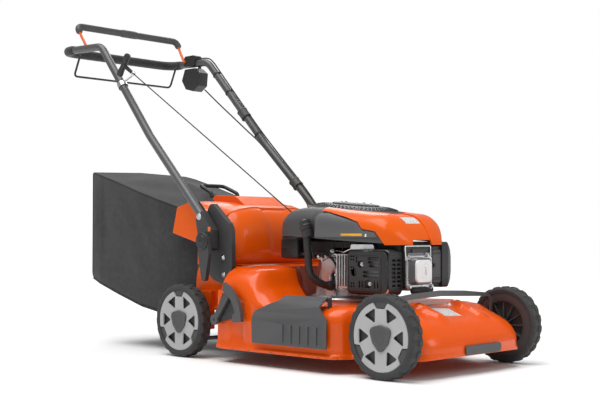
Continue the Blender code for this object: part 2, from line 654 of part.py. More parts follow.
def crankcase():
    """Hollow aluminium crankcase with its foot flange, ribs and cylinder boss."""
    base = DECK_Z + GAP
    profile = [(0.0130, base), (0.100, base), (0.100, 0.177), (0.083, 0.183), (0.075, 0.318),
               (0.060, 0.326),
               (0.0130, 0.326), (0.0130, 0.318), (0.064, 0.316), (0.070, 0.192), (0.0130, 0.188)]
    boss = box((BLADE_X + 0.055, CYL_Y - 0.048, CYL_Z - 0.050), (0.4000, CYL_Y + 0.048, CYL_Z + 0.050))
    ribs = []
    for k in range(8):
        turn = Matrix.Translation((BLADE_X, 0, 0)) @ Matrix.Rotation(2 * pi * (k + 0.5) / 8, 4, "Z")
        rib = prism([(0.070, 0.174), (0.096, 0.174), (0.084, 0.235), (0.070, 0.290)], "Y", -0.003,
                    0.003)
        rib.transform(turn)
        ribs.append(rib)
    bore = rod((BLADE_X + 0.02, CYL_Y, CYL_Z), (0.42, CYL_Y, CYL_Z), 0.034, 24)
    inside = turned([(0.0001, 0.1925), (0.0695, 0.1925), (0.0638, 0.3155), (0.0001, 0.3155)],
                    (BLADE_X, 0, 0), (0, 0, 1), 24)
    piece("crankcase", turned(profile, (BLADE_X, 0, 0), (0, 0, 1), 24), "aluminium", plus=[boss] + ribs,
          minus=[inside, bore])


def cylinder():
    """Finned cylinder and head, lying forward of the crankcase, with an open bore."""
    rings = []
    core, fin = 0.040, 0.049
    x = 0.4003

    def ring(at, half):
        return [(at, CYL_Y - half, CYL_Z - half), (at, CYL_Y + half, CYL_Z - half),
                (at, CYL_Y + half, CYL_Z + half), (at, CYL_Y - half, CYL_Z + half)]

    rings += [ring(x, fin), ring(x + 0.010, fin), ring(x + 0.0102, core)]
    x += 0.014
    while x < 0.555:
        rings += [ring(x, core), ring(x + 0.0002, fin), ring(x + 0.0035, fin), ring(x + 0.0037, core)]
        x += 0.0125
    rings += [ring(x, core), ring(x + 0.0002, fin), ring(0.6050, fin)]
    bore = rod((0.39, CYL_Y, CYL_Z), (0.535, CYL_Y, CYL_Z), 0.033, 24)
    piece("cylinder", skin(rings), "aluminium", minus=[bore])


def boxy(name, low, high, bevel, mat, plus=(), minus=()):
    """A block with bevelled edges."""
    bm = box(low, high)
    bmesh.ops.bevel(bm, geom=list(bm.edges), offset=bevel, segments=2, affect="EDGES", profile=0.7)
    bmesh.ops.recalc_face_normals(bm, faces=bm.faces)
    return piece(name, bm, mat, plus=plus, minus=minus)


def muffler_guard():
    """Louvred heat guard, an open-backed box round the muffler."""
    low, high = (0.4480, -0.1560, 0.2045), (0.5840, -0.1000, 0.306)
    slots = []
    for i in range(5):
        z = 0.222 + 0.0155 * i
        slots.append(box((0.478 + 0.012 * (i % 2), -0.17, z), (0.545, -0.15, z + 0.006)))
        slots.append(box((0.57, -0.145, z), (0.60, -0.108, z + 0.007)))
    hollow = box((low[0] + 0.0025, low[1] + 0.0025, low[2] + 0.0025),
                 (high[0] - 0.0025, high[1] + 0.02, high[2] - 0.0025))
    boxy("muffler_guard", low, high, 0.010, "black_plastic", minus=[hollow] + slots)


SHROUD_STATIONS = (
    # x, right half width, left half width, top, bottom
    (0.152, 0.085, 0.085, 0.392, 0.350),
    (0.166, 0.115, 0.115, 0.412, 0.350),
    (0.200, 0.130, 0.130, 0.426, 0.350),
    (0.262, 0.134, 0.134, 0.431, 0.346),
    (0.312, 0.137, 0.137, 0.430, 0.344),
    (0.330, 0.150, 0.150, 0.428, 0.343),
    (0.420, 0.151, 0.148, 0.416, 0.338),
    (0.480, 0.150, 0.138, 0.410, 0.335),
    (0.530, 0.148, 0.120, 0.405, 0.3325),
    (0.560, 0.143, 0.102, 0.394, 0.331),
    (0.580, 0.128, 0.082, 0.376, 0.329),
    (0.594, 0.104, 0.064, 0.354, 0.328),
    (0.600, 0.080, 0.050, 0.336, 0.3275),
)
DOME = (0.345, 0.0)
DOME_A, DOME_B = 0.146, 0.098


def shroud_section(station, inset):
    """One cross-section of the engine shroud."""
    x, right, left, top, bottom = station
    top -= inset
    bottom -= 0.05 if inset else 0.0
    rise = min(0.55 * (top - bottom), 0.045)

    def side(half):
        points = [(half, bottom)]
        for k in range(4):
            a = radians(90 * k / 3)
            points.append((half - 0.055 * (1 - cos(a)) - 0.002, top - rise + rise * sin(a)))
        return points

    return ([(x, y, z) for y, z in side(left - inset)]
            + [(x, -y, z) for y, z in reversed(side(right - inset))])


def ellipse(scale, steps=24):
    """A point list round the recoil dome's plan outline."""
    return [(DOME[0] + DOME_A * scale * cos(2 * pi * k / steps),
             DOME_B * scale * sin(2 * pi * k / steps))
            for k in range(steps)]


def engine_shroud():
    """Moulded blower shroud over the engine, with an oval opening for the recoil cover."""
    stations = [list(s) for s in SHROUD_STATIONS]
    outer = skin([shroud_section(s, 0.0) for s in stations])
    stations[0][0] += SHEET
    stations[-1][0] -= SHEET
    inner = skin([shroud_section(s, SHEET) for s in stations])
    opening = prism(ellipse(1.0), "Z", 0.30, 0.50)
    filler = rod((FILLER[0], FILLER[1], 0.36), (FILLER[0], FILLER[1], 0.50), 0.0215, 20)
    piece("engine_shroud", outer, "gray_plastic", minus=[inner, opening, filler])


def recoil_cover():
    """Slotted dome over the starter, sitting in the shroud's oval opening."""
    def ring(scale, height, sink=0.0):
        return [(x, y, 0.4195 - 0.09 * (x - DOME[0]) + height - sink) for x, y in ellipse(scale)]

    outer = [ring(0.985, -0.022), ring(0.985, 0.000), ring(0.93, 0.009), ring(0.75, 0.0145),
             ring(0.40, 0.018)]
    inner = [ring(0.39, 0.018, 0.003), ring(0.73, 0.0145, 0.003), ring(0.90, 0.008, 0.003),
             ring(0.955, -0.022)]
    bm = bmesh.new()
    rows = [[bm.verts.new(p) for p in r] for r in outer + inner]
    count = len(rows[0])
    top = len(outer)
    for n, (a, b) in enumerate(zip(rows, rows[1:] + rows[:1])):
        if n == top - 1:
            continue
        for i in range(count):
            j = (i + 1) % count
            bm.faces.new((a[i], a[j], b[j], b[i]))
    bm.faces.new(rows[top - 1])
    bm.faces.new(list(reversed(rows[top])))
    bmesh.ops.recalc_face_normals(bm, faces=bm.faces)
    piece("recoil_cover", bm, "gray_plastic")


FILLER = (0.1900, 0.0780, 0.4200)      # top of the fuel filler neck


def fuel_tank():
    """Fuel tank behind the crankcase, with its filler neck."""
    x, y, z = FILLER
    neck = rod((x, y, 0.335), (x, y, z), 0.016, 16)
    inside = box((0.158, -0.104, 0.290), (0.2190, 0.104, 0.340))
    throat = rod((x, y, 0.33), (x, y, z + 0.02), 0.012, 16)
    boxy("fuel_tank", (0.154, -0.110, 0.2845), (0.2230, 0.110, 0.3450), 0.012, "black_plastic",
         plus=[neck],
         minus=[inside, throat])


OIL_BASE = Vector((0.3320, -0.1350, 0.225))
OIL_TOP = Vector((0.2960, -0.1520, 0.376))


def oil_tube():
    """Oil filler tube from the crankcase flange up beside the shroud."""
    way = (OIL_TOP - OIL_BASE).normalized()
    path = bent([(0.3200, -0.0880, 0.205), OIL_BASE - way * 0.004, OIL_TOP], 0.02)
    bore = rod(OIL_BASE + way * 0.03, OIL_TOP + way * 0.02, 0.0068, 12)
    piece("oil_tube", swept(path, 0.0095, 12), "black_plastic", minus=[bore])


def dipstick():
    """Oil filler cap with its dipstick blade."""
    way = (OIL_TOP - OIL_BASE).normalized()
    profile = [(0.0001, -0.095), (0.0025, -0.095), (0.0025, GAP), (0.0135, GAP), (0.0150, 0.004),
               (0.0150, 0.016),
               (0.0120, 0.020), (0.0001, 0.020)]
    piece("dipstick", turned(profile, OIL_TOP, way, 16), "black_plastic", pivot=tuple(OIL_TOP))


def engine_small_parts():
    """Head cover, muffler, air filter, carburettor and fuel cap."""
    boxy("valve_cover", (0.6053, -0.094, 0.224), (0.6380, -0.028, 0.294), 0.007, "aluminium")
    boxy("muffler", (0.462, -0.146, 0.214), (0.574, -0.0975, 0.294), 0.012, "steel")
    boxy("air_filter_box", (0.545, 0.022, 0.2140), (0.600, 0.112, 0.3240), 0.010, "black_plastic")
    boxy("carburettor", (0.500, 0.0065, 0.235), (0.5445, 0.058, 0.292), 0.005, "aluminium")
    cap = [(0.0001, 0.0), (0.0175, 0.0), (0.0185, 0.003), (0.0185, 0.010), (0.015, 0.013),
           (0.0001, 0.013)]
    seat = (FILLER[0], FILLER[1], FILLER[2] + GAP)
    piece("fuel_cap", turned(cap, seat, (0, 0, 1), 18), "black_plastic", pivot=seat)


# ---------------------------------------------------------------- handle
TUBE_LOW = (-0.0185, 0.4080)      # x and z where the tube enters the fold bracket
TUBE_BEND = (-0.270, 0.6530)
TUBE_TOP = (-0.5445, 0.9600)
TOP_Y = 0.228
BEND_R = 0.055


def handle_tube():
    """One bent tube from the right fold bracket over the crossbar to the left one."""
    half = [(TUBE_LOW[0], TUBE_Y, TUBE_LOW[1]), (TUBE_BEND[0], 0.246, TUBE_BEND[1]),
            (TUBE_TOP[0], TOP_Y, TUBE_TOP[1]), (BAR[0], TOP_Y + 0.004, BAR[1])]
    corners = [(x, -y, z) for x, y, z in half] + [(x, y, z) for x, y, z in reversed(half)]
    piece("handle_tube", swept(bent(corners, BEND_R, 4), TUBE_R, 12), "gray_tube",
          pivot=(FOLD[0], 0, FOLD[1]))


def crossbar_path(start_x):
    """The tube's line round the crossbar and both corners, from start_x on each side."""
    slope = (BAR[1] - TUBE_TOP[1]) / (BAR[0] - TUBE_TOP[0])
    half = [(start_x, TOP_Y + 0.0028, BAR[1] + slope * (start_x - BAR[0])),
            (BAR[0], TOP_Y + 0.004, BAR[1])]
    return bent([(x, -y, z) for x, y, z in half] + [(x, y, z) for x, y, z in reversed(half)], BEND_R, 4)


def handle_grip():
    """Foam sleeve round the crossbar and its corners, open at both ends for the tube."""
    outer = swept(crossbar_path(-0.690), GRIP_R, 14)
    inner = swept(crossbar_path(-0.640), TUBE_R + 3 * GAP, 14)
    piece("handle_grip", outer, "rubber", minus=[inner], pivot=(FOLD[0], 0, FOLD[1]))


def handle_bracket(side, sign):
    """Link from the tube's lower end to the fold bolt."""
    fx, fz = FOLD
    low = Vector((TUBE_LOW[0], TUBE_LOW[1]))
    way = (Vector(TUBE_BEND) - low).normalized()
    square = Vector((-way.y, way.x))
    a = low - way * GAP
    seat_a, seat_b = a + square * 0.017, a - square * 0.017
    outline = ([tuple(seat_b), tuple(seat_a), (-0.020, 0.350)] + arc((fx, fz), 0.030, 175, 320, 8)
               + [(0.038, 0.366)])
    near, far = sorted((sign * 0.2432, sign * 0.2690))
    top = low + way * 0.050
    tongue = [tuple(top + square * 0.011), tuple(low - way * 0.03 + square * 0.011),
              tuple(low - way * 0.03 - square * 0.011), tuple(top - square * 0.011)]
    t_near, t_far = sorted((sign * 0.2404, sign * 0.2434))
    tongue_bm = prism(tongue, "Y", t_near, t_far)
    tube_way = Vector((TUBE_BEND[0] - TUBE_LOW[0], sign * (0.246 - TUBE_Y), TUBE_BEND[1] - TUBE_LOW[1]))
    start = Vector((TUBE_LOW[0], sign * TUBE_Y, TUBE_LOW[1]))
    clear = rod(start - tube_way * 0.002, start + tube_way * 0.3, TUBE_R + GAP, 24)
    bolt = rod((fx, sign * 0.23, fz), (fx, sign * 0.28, fz), 0.0053, 16)
    piece(f"handle_bracket_{side}", prism(outline, "Y", near, far), "gray_plastic", plus=[tongue_bm],
          minus=[clear, bolt], pivot=(fx, sign * 0.25, fz))


def clamp_lever(side, sign):
    """Cam lever that clamps the fold joint."""
    fx, fz = FOLD
    outline = hull_of_circles([(fx, fz, 0.022), (fx - 0.006, fz - 0.040, 0.012),
                               (fx + 0.004, fz - 0.105, 0.009),
                               (fx + 0.014, fz - 0.035, 0.013)], 5)
    near, far = sorted((sign * 0.2694, sign * 0.2830))
    bolt = rod((fx, sign * 0.26, fz), (fx, sign * 0.2748, fz), 0.0053, 16)
    piece(f"clamp_lever_{side}", prism(outline, "Y", near, far), "black_plastic", minus=[bolt],
          pivot=(fx, sign * 0.2694, fz))


def bail_path(points, radius):
    """A bail's line: the right half's points, bent, then mirrored to the left."""
    return bent(points + [(x, -y, z) for x, y, z in reversed(points)], radius, 3)


BAIL_TOP = (-0.7005, 1.048)
BAIL_LEG = (-0.678, 1.010)


def brake_bail():
    """Orange wire of the operator-presence bail, one bent length with a pivot end on each side."""
    foot_y = 0.2080
    leg = [(BAIL_FOOT[0], -0.2140, BAIL_FOOT[1]), (BAIL_FOOT[0], -foot_y, BAIL_FOOT[1]),
           (BAIL_LEG[0], -0.2120, BAIL_LEG[1]), (BAIL_TOP[0], -0.2140, BAIL_TOP[1])]
    piece("brake_bail", swept(bail_path(leg, 0.014), 0.0045, 8), "orange_plastic",
          pivot=(BAIL_FOOT[0], 0, BAIL_FOOT[1]))


def brake_bail_grip():
    """Gray sleeve moulded round the bail's bar and corners, with a raised middle."""
    corner = (BAIL_TOP[0], -0.2140, BAIL_TOP[1])
    slope = (BAIL_TOP[0] - BAIL_LEG[0]) / (BAIL_TOP[1] - BAIL_LEG[1])

    def leg_at(drop):
        return (BAIL_TOP[0] - slope * drop, -0.2140 + 0.0526 * drop, BAIL_TOP[1] - drop)

    outer = swept(bail_path([leg_at(0.022), corner], 0.014), 0.0115, 10)
    inner = swept(bail_path([leg_at(0.060), corner], 0.014), 0.0052, 8)
    middle = rod((BAIL_TOP[0], -0.026, BAIL_TOP[1]), (BAIL_TOP[0], 0.026, BAIL_TOP[1]), 0.0145, 12)
    piece("brake_bail_grip", outer, "gray_plastic", plus=[middle], minus=[inner],
          pivot=(BAIL_FOOT[0], 0, BAIL_FOOT[1]))


def drive_bail():
    """Black wire bail under the crossbar that engages the drive."""
    px, pz = DRIVE_PIVOT
    leg = [(px, -0.2135, pz), (px, -0.206, pz), (-0.7275, -0.2065, 0.884)]
    piece("drive_bail", swept(bail_path(leg, 0.014), 0.0035, 8), "black_plastic", pivot=(px, 0, pz))


def control_box():
    """Speed-control housing on the left tube."""
    outline = [(-0.655, 0.944), (-0.600, 0.944), (-0.575, 0.925), (-0.580, 0.880), (-0.610, 0.862),
               (-0.650, 0.872),
               (-0.672, 0.905)]
    piece("control_box", prism(outline, "Y", 0.2150, 0.2560), "black_plastic",
          plus=[rod((-0.625, 0.2540, 0.905), (-0.625, 0.2600, 0.905), 0.005, 12)],
          pivot=(FOLD[0], 0, FOLD[1]))


def speed_lever():
    """Thumb lever on the outer face of the control box."""
    hub = rod((-0.625, 0.2564, 0.905), (-0.625, 0.2620, 0.905), 0.014, 20)
    arm = prism([(-0.634, 0.905), (-0.616, 0.905), (-0.618, 0.962), (-0.630, 0.966)], "Y", 0.2564,
                0.2620)
    hole = rod((-0.625, 0.25, 0.905), (-0.625, 0.2604, 0.905), 0.0053, 12)
    piece("speed_lever", hub, "gray_plastic", plus=[arm], minus=[hole], pivot=(-0.625, 0.2564, 0.905))


GUIDE = Vector((-0.3350, -0.2600, 0.8480))     # where the rope leaves the ring guide
ROPE_END = Vector((0.1500, -0.0560, 0.4160))   # where it enters the recoil cover


def starter():
    """Rope guide, grip and rope of the recoil starter."""
    way = (ROPE_END - GUIDE).normalized()
    ring = [(0.0042, -0.003), (0.0090, -0.003), (0.0090, 0.003), (0.0042, 0.003)]
    top, bend = Vector((TUBE_TOP[0], -TOP_Y, TUBE_TOP[1])), Vector((TUBE_BEND[0], -0.246, TUBE_BEND[1]))
    tube_way = (bend - top).normalized()
    clamp_at = top.lerp(bend, 0.45)
    reach = (GUIDE - clamp_at)
    reach = (reach - tube_way * reach.dot(tube_way)).normalized()
    beside = clamp_at - GUIDE
    beside = (beside - way * beside.dot(way)).normalized()
    post = rod(clamp_at + reach * 0.0142, GUIDE + beside * 0.0070, 0.0026, 8)
    clamp = turned([(TUBE_R + GAP, -0.008), (0.0160, -0.008), (0.0160, 0.008), (TUBE_R + GAP, 0.008)],
                   clamp_at, tube_way, 20)
    piece("starter_guide", turned(ring, GUIDE, way, 16), "black_plastic", plus=[post, clamp],
          pivot=(FOLD[0], 0, FOLD[1]))
    start = GUIDE - way * 0.0065
    stem = rod(start, start - way * 0.038, 0.0065, 12)
    cross = Vector((0.70, -0.10, 0.70))
    cross = (cross - way * cross.dot(way)).normalized()
    middle = start - way * 0.038
    bar = swept([middle - cross * 0.040, middle - cross * 0.020, middle, middle + cross * 0.020,
                 middle + cross * 0.040], 0.0095, 12)
    piece("starter_grip", bar, "black_plastic", plus=[stem], pivot=tuple(start))
    piece("starter_rope", rod(start + way * GAP, ROPE_END, 0.0018, 8), "black_plastic")


def cable(name, points, radius):
    """A control cable along the handle tube as a filled curve."""
    curve = bpy.data.curves.new(name, "CURVE")
    curve.dimensions = "3D"
    curve.bevel_depth = radius
    curve.bevel_resolution = 2
    curve.use_fill_caps = True
    path = smooth(points, 2)
    spline = curve.splines.new("POLY")
    spline.points.add(len(path) - 1)
    for spot, p in zip(spline.points, path):
        spot.co = (*p, 1.0)
    curve.materials.append(material("black_plastic"))
    thing = bpy.data.objects.new(name, curve)
    bpy.context.scene.collection.objects.link(thing)


def smooth(points, steps):
    """A Catmull-Rom curve read through a list of points."""
    pts = [Vector(p) for p in points]
    pts = [pts[0] * 2 - pts[1]] + pts + [pts[-1] * 2 - pts[-2]]
    path = []
    for a, b, c, d in zip(pts, pts[1:], pts[2:], pts[3:]):
        for k in range(steps):
            t = k / steps
            path.append(0.5 * ((b * 2) + (c - a) * t + (a * 2 - b * 5 + c * 4 - d) * t ** 2
                               + (b * 3 - a - c * 3 + d) * t ** 3))
    path.append(pts[-2])
    return path


BRAKE_ROUTE = ((-0.6000, 0.2320, 0.9776), (-0.5690, 0.2320, 0.9772), (-0.5390, 0.2325, 0.9712),
               (-0.5152, 0.2330, 0.9530), (-0.5040, 0.2335, 0.9405), (-0.3955, 0.2400, 0.8170),
               (-0.2857, 0.2470, 0.6942), (-0.1836, 0.2520, 0.5908), (-0.1081, 0.2540, 0.5173),
               (-0.0452, 0.2470, 0.4561), (-0.0240, 0.2260, 0.4330), (-0.0090, 0.2145, 0.4100),
               (0.0200, 0.2112, 0.3720), (0.0600, 0.2112, 0.3280), (0.1000, 0.2000, 0.3050),
               (0.1400, 0.1700, 0.2980), (0.1780, 0.1360, 0.3000))
DRIVE_ROUTE = ((-0.5740, 0.2400, 0.8660), (-0.5000, 0.2380, 0.8120), (-0.4200, 0.2340, 0.7570),
               (-0.3450, 0.2310, 0.7050), (-0.2850, 0.2292, 0.6630), (-0.2200, 0.2310, 0.6040),
               (-0.1400, 0.2340, 0.5260), (-0.0750, 0.2330, 0.4630), (-0.0480, 0.2225, 0.4320),
               (-0.0260, 0.2130, 0.3980), (-0.0140, 0.2112, 0.3550), (-0.0140, 0.2112, 0.3000),
               (-0.0240, 0.2112, 0.2500), (-0.0520, 0.2112, 0.2150), (-0.0780, 0.2115, 0.1800),
               (-0.0880, 0.2170, 0.1500), (-0.0880, 0.2140, 0.1240), (-0.0800, 0.1900, 0.1120),
               (-0.0600, 0.0900, 0.1080), (-0.0500, 0.0520, 0.1060))


# ---------------------------------------------------------------- grass bag
BAG_STATIONS = (
    # x, half width, bottom, side crease, ridge
    (-0.1130, 0.178, 0.172, 0.395, 0.405),
    (-0.1600, 0.187, 0.153, 0.400, 0.412),
    (-0.1760, 0.190, 0.147, 0.428, 0.459),
    (-0.2050, 0.196, 0.135, 0.437, 0.466),
    (-0.2830, 0.203, 0.110, 0.459, 0.492),
    (-0.3725, 0.205, 0.125, 0.484, 0.520),
    (-0.4900, 0.205, 0.158, 0.520, 0.545),
    (-0.5825, 0.203, 0.186, 0.546, 0.557),
    (-0.6275, 0.198, 0.202, 0.556, 0.562),
)


def bag_section(station, inset):
    """One cross-section of the bag."""
    x, half, low, crease, ridge = station
    half, low, crease, ridge = half - inset, low + inset, crease - inset, ridge - inset
    side = [(half * 0.90, low), (half, low + 0.030), (half, crease - 0.015), (half * 0.97, crease)]
    return [(x, y, z) for y, z in side] + [(x, 0.0, ridge)] + [(x, -y, z) for y, z in reversed(side)]


def grass_bag():
    """Fabric bag, open at its mouth, on a moulded mouth frame with a carrying handle."""
    wall = 0.003
    stations = [list(s) for s in BAG_STATIONS]
    outer = skin([bag_section(s, 0.0) for s in stations])
    stations[0][0] += 0.03
    stations[-1][0] += wall
    inner = skin([bag_section(s, wall) for s in stations])
    piece("bag_fabric", outer, "fabric", minus=[inner])
    outline = rounded_rect((-0.190, 0.1680), (0.190, 0.4120), 0.020)
    mouth = prism(rounded_rect((-0.172, 0.186), (0.172, 0.398), 0.012), "X", -0.2, 0.0)
    hooks = []
    for sign in (-1, 1):
        near, far = sorted((sign * 0.130, sign * 0.150))
        hooks.append(box((-0.1125, near, 0.405), (-0.1010, far, 0.4160)))
    piece("bag_frame", prism(outline, "X", -0.1127, -0.1003), "black_plastic", plus=hooks,
          minus=[mouth])
    grip = [(-0.2000, -0.055, 0.4690), (-0.2050, -0.055, 0.4840), (-0.2640, -0.050, 0.5080),
            (-0.2640, 0.050, 0.5080), (-0.2050, 0.055, 0.4840), (-0.2000, 0.055, 0.4690)]
    piece("bag_handle", swept(bent(grip, 0.016, 3), 0.0062, 10), "black_plastic")


# ---------------------------------------------------------------- the mower
def build():
    """Every piece of the mower."""
    for thing in list(bpy.data.objects):
        bpy.data.objects.remove(thing, do_unlink=True)
    deck_shell()
    front_bumper()
    rear_baffle()
    rear_housing()
    rear_flap()
    side_flap()
    both_sides(side_cover)
    height_quadrant()
    height_lever()
    for end, x in (("front", FRONT_X), ("rear", REAR_X)):
        both_sides(lambda side, sign: wheel(f"{end}_{side}", x, sign))
    rear_axle()
    front_axle()
    drive_shaft()
    gearbox()
    gearbox_pulley()
    drive_belt()
    crankshaft()
    blade()
    blade_bolt()
    flywheel()
    crankcase()
    cylinder()
    muffler_guard()
    engine_shroud()
    recoil_cover()
    fuel_tank()
    oil_tube()
    dipstick()
    engine_small_parts()
    handle_tube()
    handle_grip()
    both_sides(handle_bracket)
    both_sides(clamp_lever)
    brake_bail()
    brake_bail_grip()
    drive_bail()
    control_box()
    speed_lever()
    starter()
    cable("brake_cable", BRAKE_ROUTE, 0.0025)
    cable("drive_cable", DRIVE_ROUTE, 0.0025)
    grass_bag()


build()
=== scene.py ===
"""Looks of the self-propelled lawn mower: detailed pieces, materials, light and camera on its CAD frame."""

import json
from math import cos, pi, radians, sin

import bmesh
import bpy
import numpy as np
from mathutils import Matrix, Vector, noise


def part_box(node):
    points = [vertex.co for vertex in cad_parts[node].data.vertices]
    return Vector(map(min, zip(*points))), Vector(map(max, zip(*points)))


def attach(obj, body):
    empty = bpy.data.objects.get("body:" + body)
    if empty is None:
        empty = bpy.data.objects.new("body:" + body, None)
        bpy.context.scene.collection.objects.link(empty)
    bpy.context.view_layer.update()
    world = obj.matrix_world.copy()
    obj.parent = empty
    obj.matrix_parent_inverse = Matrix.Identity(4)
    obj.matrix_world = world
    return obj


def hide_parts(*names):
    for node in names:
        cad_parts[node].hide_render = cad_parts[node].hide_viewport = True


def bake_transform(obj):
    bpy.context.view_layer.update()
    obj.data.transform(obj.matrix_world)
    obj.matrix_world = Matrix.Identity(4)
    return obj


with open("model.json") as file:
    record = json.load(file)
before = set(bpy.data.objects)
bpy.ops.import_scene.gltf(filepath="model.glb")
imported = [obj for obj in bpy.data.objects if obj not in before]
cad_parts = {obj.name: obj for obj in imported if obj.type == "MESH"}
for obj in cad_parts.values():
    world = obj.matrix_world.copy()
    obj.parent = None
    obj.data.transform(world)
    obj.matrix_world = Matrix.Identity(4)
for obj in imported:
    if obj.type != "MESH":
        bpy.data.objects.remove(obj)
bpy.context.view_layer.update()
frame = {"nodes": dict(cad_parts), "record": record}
NODE_BODY = {n: b for b, ns in frame["record"]["behaviour"]["bodies"].items() for n in ns}
NODE_SLOT = {s["node"]: s["material_slot"] for s in frame["record"]["subparts"]}


# ---------------------------------------------------------------- materials
DUST_COLOUR, GLOSS_SPREAD, COAT_ROUGH = (0.42, 0.4, 0.36), 0.06, 0.06


def ramp(nodes, links, factor, low, high, at=(0.3, 0.7)):
    """A two-stop colour ramp read from factor."""
    node = nodes.new("ShaderNodeValToRGB")
    node.color_ramp.elements[0].position, node.color_ramp.elements[1].position = at
    node.color_ramp.elements[0].color = (*low, 1.0)
    node.color_ramp.elements[1].color = (*high, 1.0)
    links.new(factor, node.inputs["Fac"])
    return node.outputs["Color"]


def mix(nodes, links, factor, a, b):
    """Colours a and b mixed by factor; either may be a tuple or a socket."""
    node = nodes.new("ShaderNodeMix")
    node.data_type = "RGBA"
    if isinstance(factor, float):
        node.inputs[0].default_value = factor
    else:
        links.new(factor, node.inputs[0])
    for socket, value in ((node.inputs[6], a), (node.inputs[7], b)):
        if isinstance(value, tuple):
            socket.default_value = (*value, 1.0)
        else:
            links.new(value, socket)
    return node.outputs[2]


def maths(nodes, links, operation, a, b=0.0):
    """One math node; a and b may be numbers or sockets."""
    node = nodes.new("ShaderNodeMath")
    node.operation = operation
    for socket, value in zip(node.inputs, (a, b)):
        if isinstance(value, (int, float)):
            socket.default_value = value
        else:
            links.new(value, socket)
    return node.outputs[0]


def speckle(nodes, links, vector, scale, detail=3.0, rough=0.55):
    """Noise read at that scale."""
    node = nodes.new("ShaderNodeTexNoise")
    node.inputs["Scale"].default_value = scale
    node.inputs["Detail"].default_value = detail
    node.inputs["Roughness"].default_value = rough
    links.new(vector, node.inputs["Vector"])
    return node.outputs["Fac"]


def bumped(nodes, links, height, strength, distance):
    """Relief on the shader's normal, read from height."""
    bump = nodes.new("ShaderNodeBump")
    bump.inputs["Strength"].default_value = strength
    bump.inputs["Distance"].default_value = distance
    links.new(height, bump.inputs["Height"])
    links.new(bump.outputs["Normal"], nodes["Principled BSDF"].inputs["Normal"])


def finish(name, colour, rough, metal=0.0, coat=0.0, vary=0.08, patch=11.0, grain=0.0, grain_size=900.0,
           wear=0.0, wear_colour=(0.5, 0.5, 0.5), dust=0.0, sheen=0.0, specular=0.5, streak=None):
    """A Principled material: mottled colour, uneven gloss, fine relief, rubbed edges and a little dust."""
    mat = bpy.data.materials.new(name)
    mat.use_nodes = True
    nodes, links = mat.node_tree.nodes, mat.node_tree.links
    shader = nodes["Principled BSDF"]
    vector = nodes.new("ShaderNodeTexCoord").outputs["Object"]
    if streak:
        mapping = nodes.new("ShaderNodeMapping")
        mapping.inputs["Scale"].default_value = streak
        links.new(vector, mapping.inputs["Vector"])
        vector = mapping.outputs["Vector"]
    low = tuple(c * (1 - vary) for c in colour)
    high = tuple(min(c * (1 + vary), 1.0) for c in colour)
    shade = ramp(nodes, links, speckle(nodes, links, vector, patch), low, high)
    if dust:
        fine = speckle(nodes, links, vector, patch * 9, 6.0, 0.7)
        cover = ramp(nodes, links, fine, (0, 0, 0), (dust, dust, dust), (0.45, 0.8))
        shade = mix(nodes, links, cover, shade, DUST_COLOUR)
    if wear:
        edge = nodes.new("ShaderNodeNewGeometry").outputs["Pointiness"]
        rub = ramp(nodes, links, edge, (0, 0, 0), (wear, wear, wear), (0.52, 0.6))
        shade = mix(nodes, links, rub, shade, wear_colour)
    links.new(shade, shader.inputs["Base Color"])
    gloss = nodes.new("ShaderNodeMapRange")
    gloss.inputs["To Min"].default_value = max(rough - GLOSS_SPREAD, 0.02)
    gloss.inputs["To Max"].default_value = min(rough + GLOSS_SPREAD, 1.0)
    links.new(speckle(nodes, links, vector, patch * 4), gloss.inputs["Value"])
    links.new(gloss.outputs["Result"], shader.inputs["Roughness"])
    for socket, value in (("Metallic", metal), ("Coat Weight", coat), ("Coat Roughness", COAT_ROUGH),
                          ("Sheen Weight", sheen), ("Specular IOR Level", specular)):
        shader.inputs[socket].default_value = value
    if grain:
        bumped(nodes, links, speckle(nodes, links, vector, grain_size, 2.0), 0.6, grain)
    return mat


def woven(name, colour, pitch, relief):
    """Plain-weave polyester: crossing threads with slubs, faint creases and lint."""
    mat = finish(name, colour, 0.92, vary=0.16, patch=7.0, sheen=0.25, specular=0.2, dust=0.05)
    nodes, links = mat.node_tree.nodes, mat.node_tree.links
    shader = nodes["Principled BSDF"]
    coord = nodes.new("ShaderNodeTexCoord").outputs["Object"]
    threads = []
    for direction in ("X", "Y", "Z"):
        wave = nodes.new("ShaderNodeTexWave")
        wave.bands_direction = direction
        wave.inputs["Scale"].default_value = 0.314 / pitch
        wave.inputs["Distortion"].default_value = 1.2
        wave.inputs["Detail Scale"].default_value = 2.0
        links.new(coord, wave.inputs["Vector"])
        threads.append(wave.outputs["Fac"])
    height = maths(nodes, links, "MAXIMUM", maths(nodes, links, "MULTIPLY", threads[0], threads[2]),
                   maths(nodes, links, "MULTIPLY", threads[1], threads[2]))
    dark = ramp(nodes, links, height, (0.72, 0.72, 0.72), (1.0, 1.0, 1.0), (0.0, 0.6))
    tint = nodes.new("ShaderNodeMix")
    tint.data_type, tint.blend_type = "RGBA", "MULTIPLY"
    tint.inputs[0].default_value = 1.0
    links.new(shader.inputs["Base Color"].links[0].from_socket, tint.inputs[6])
    links.new(dark, tint.inputs[7])
    links.new(tint.outputs[2], shader.inputs["Base Color"])
    slub = maths(nodes, links, "ADD", height, speckle(nodes, links, coord, 160.0, 4.0))
    bumped(nodes, links, slub, 0.7, relief)
    return mat


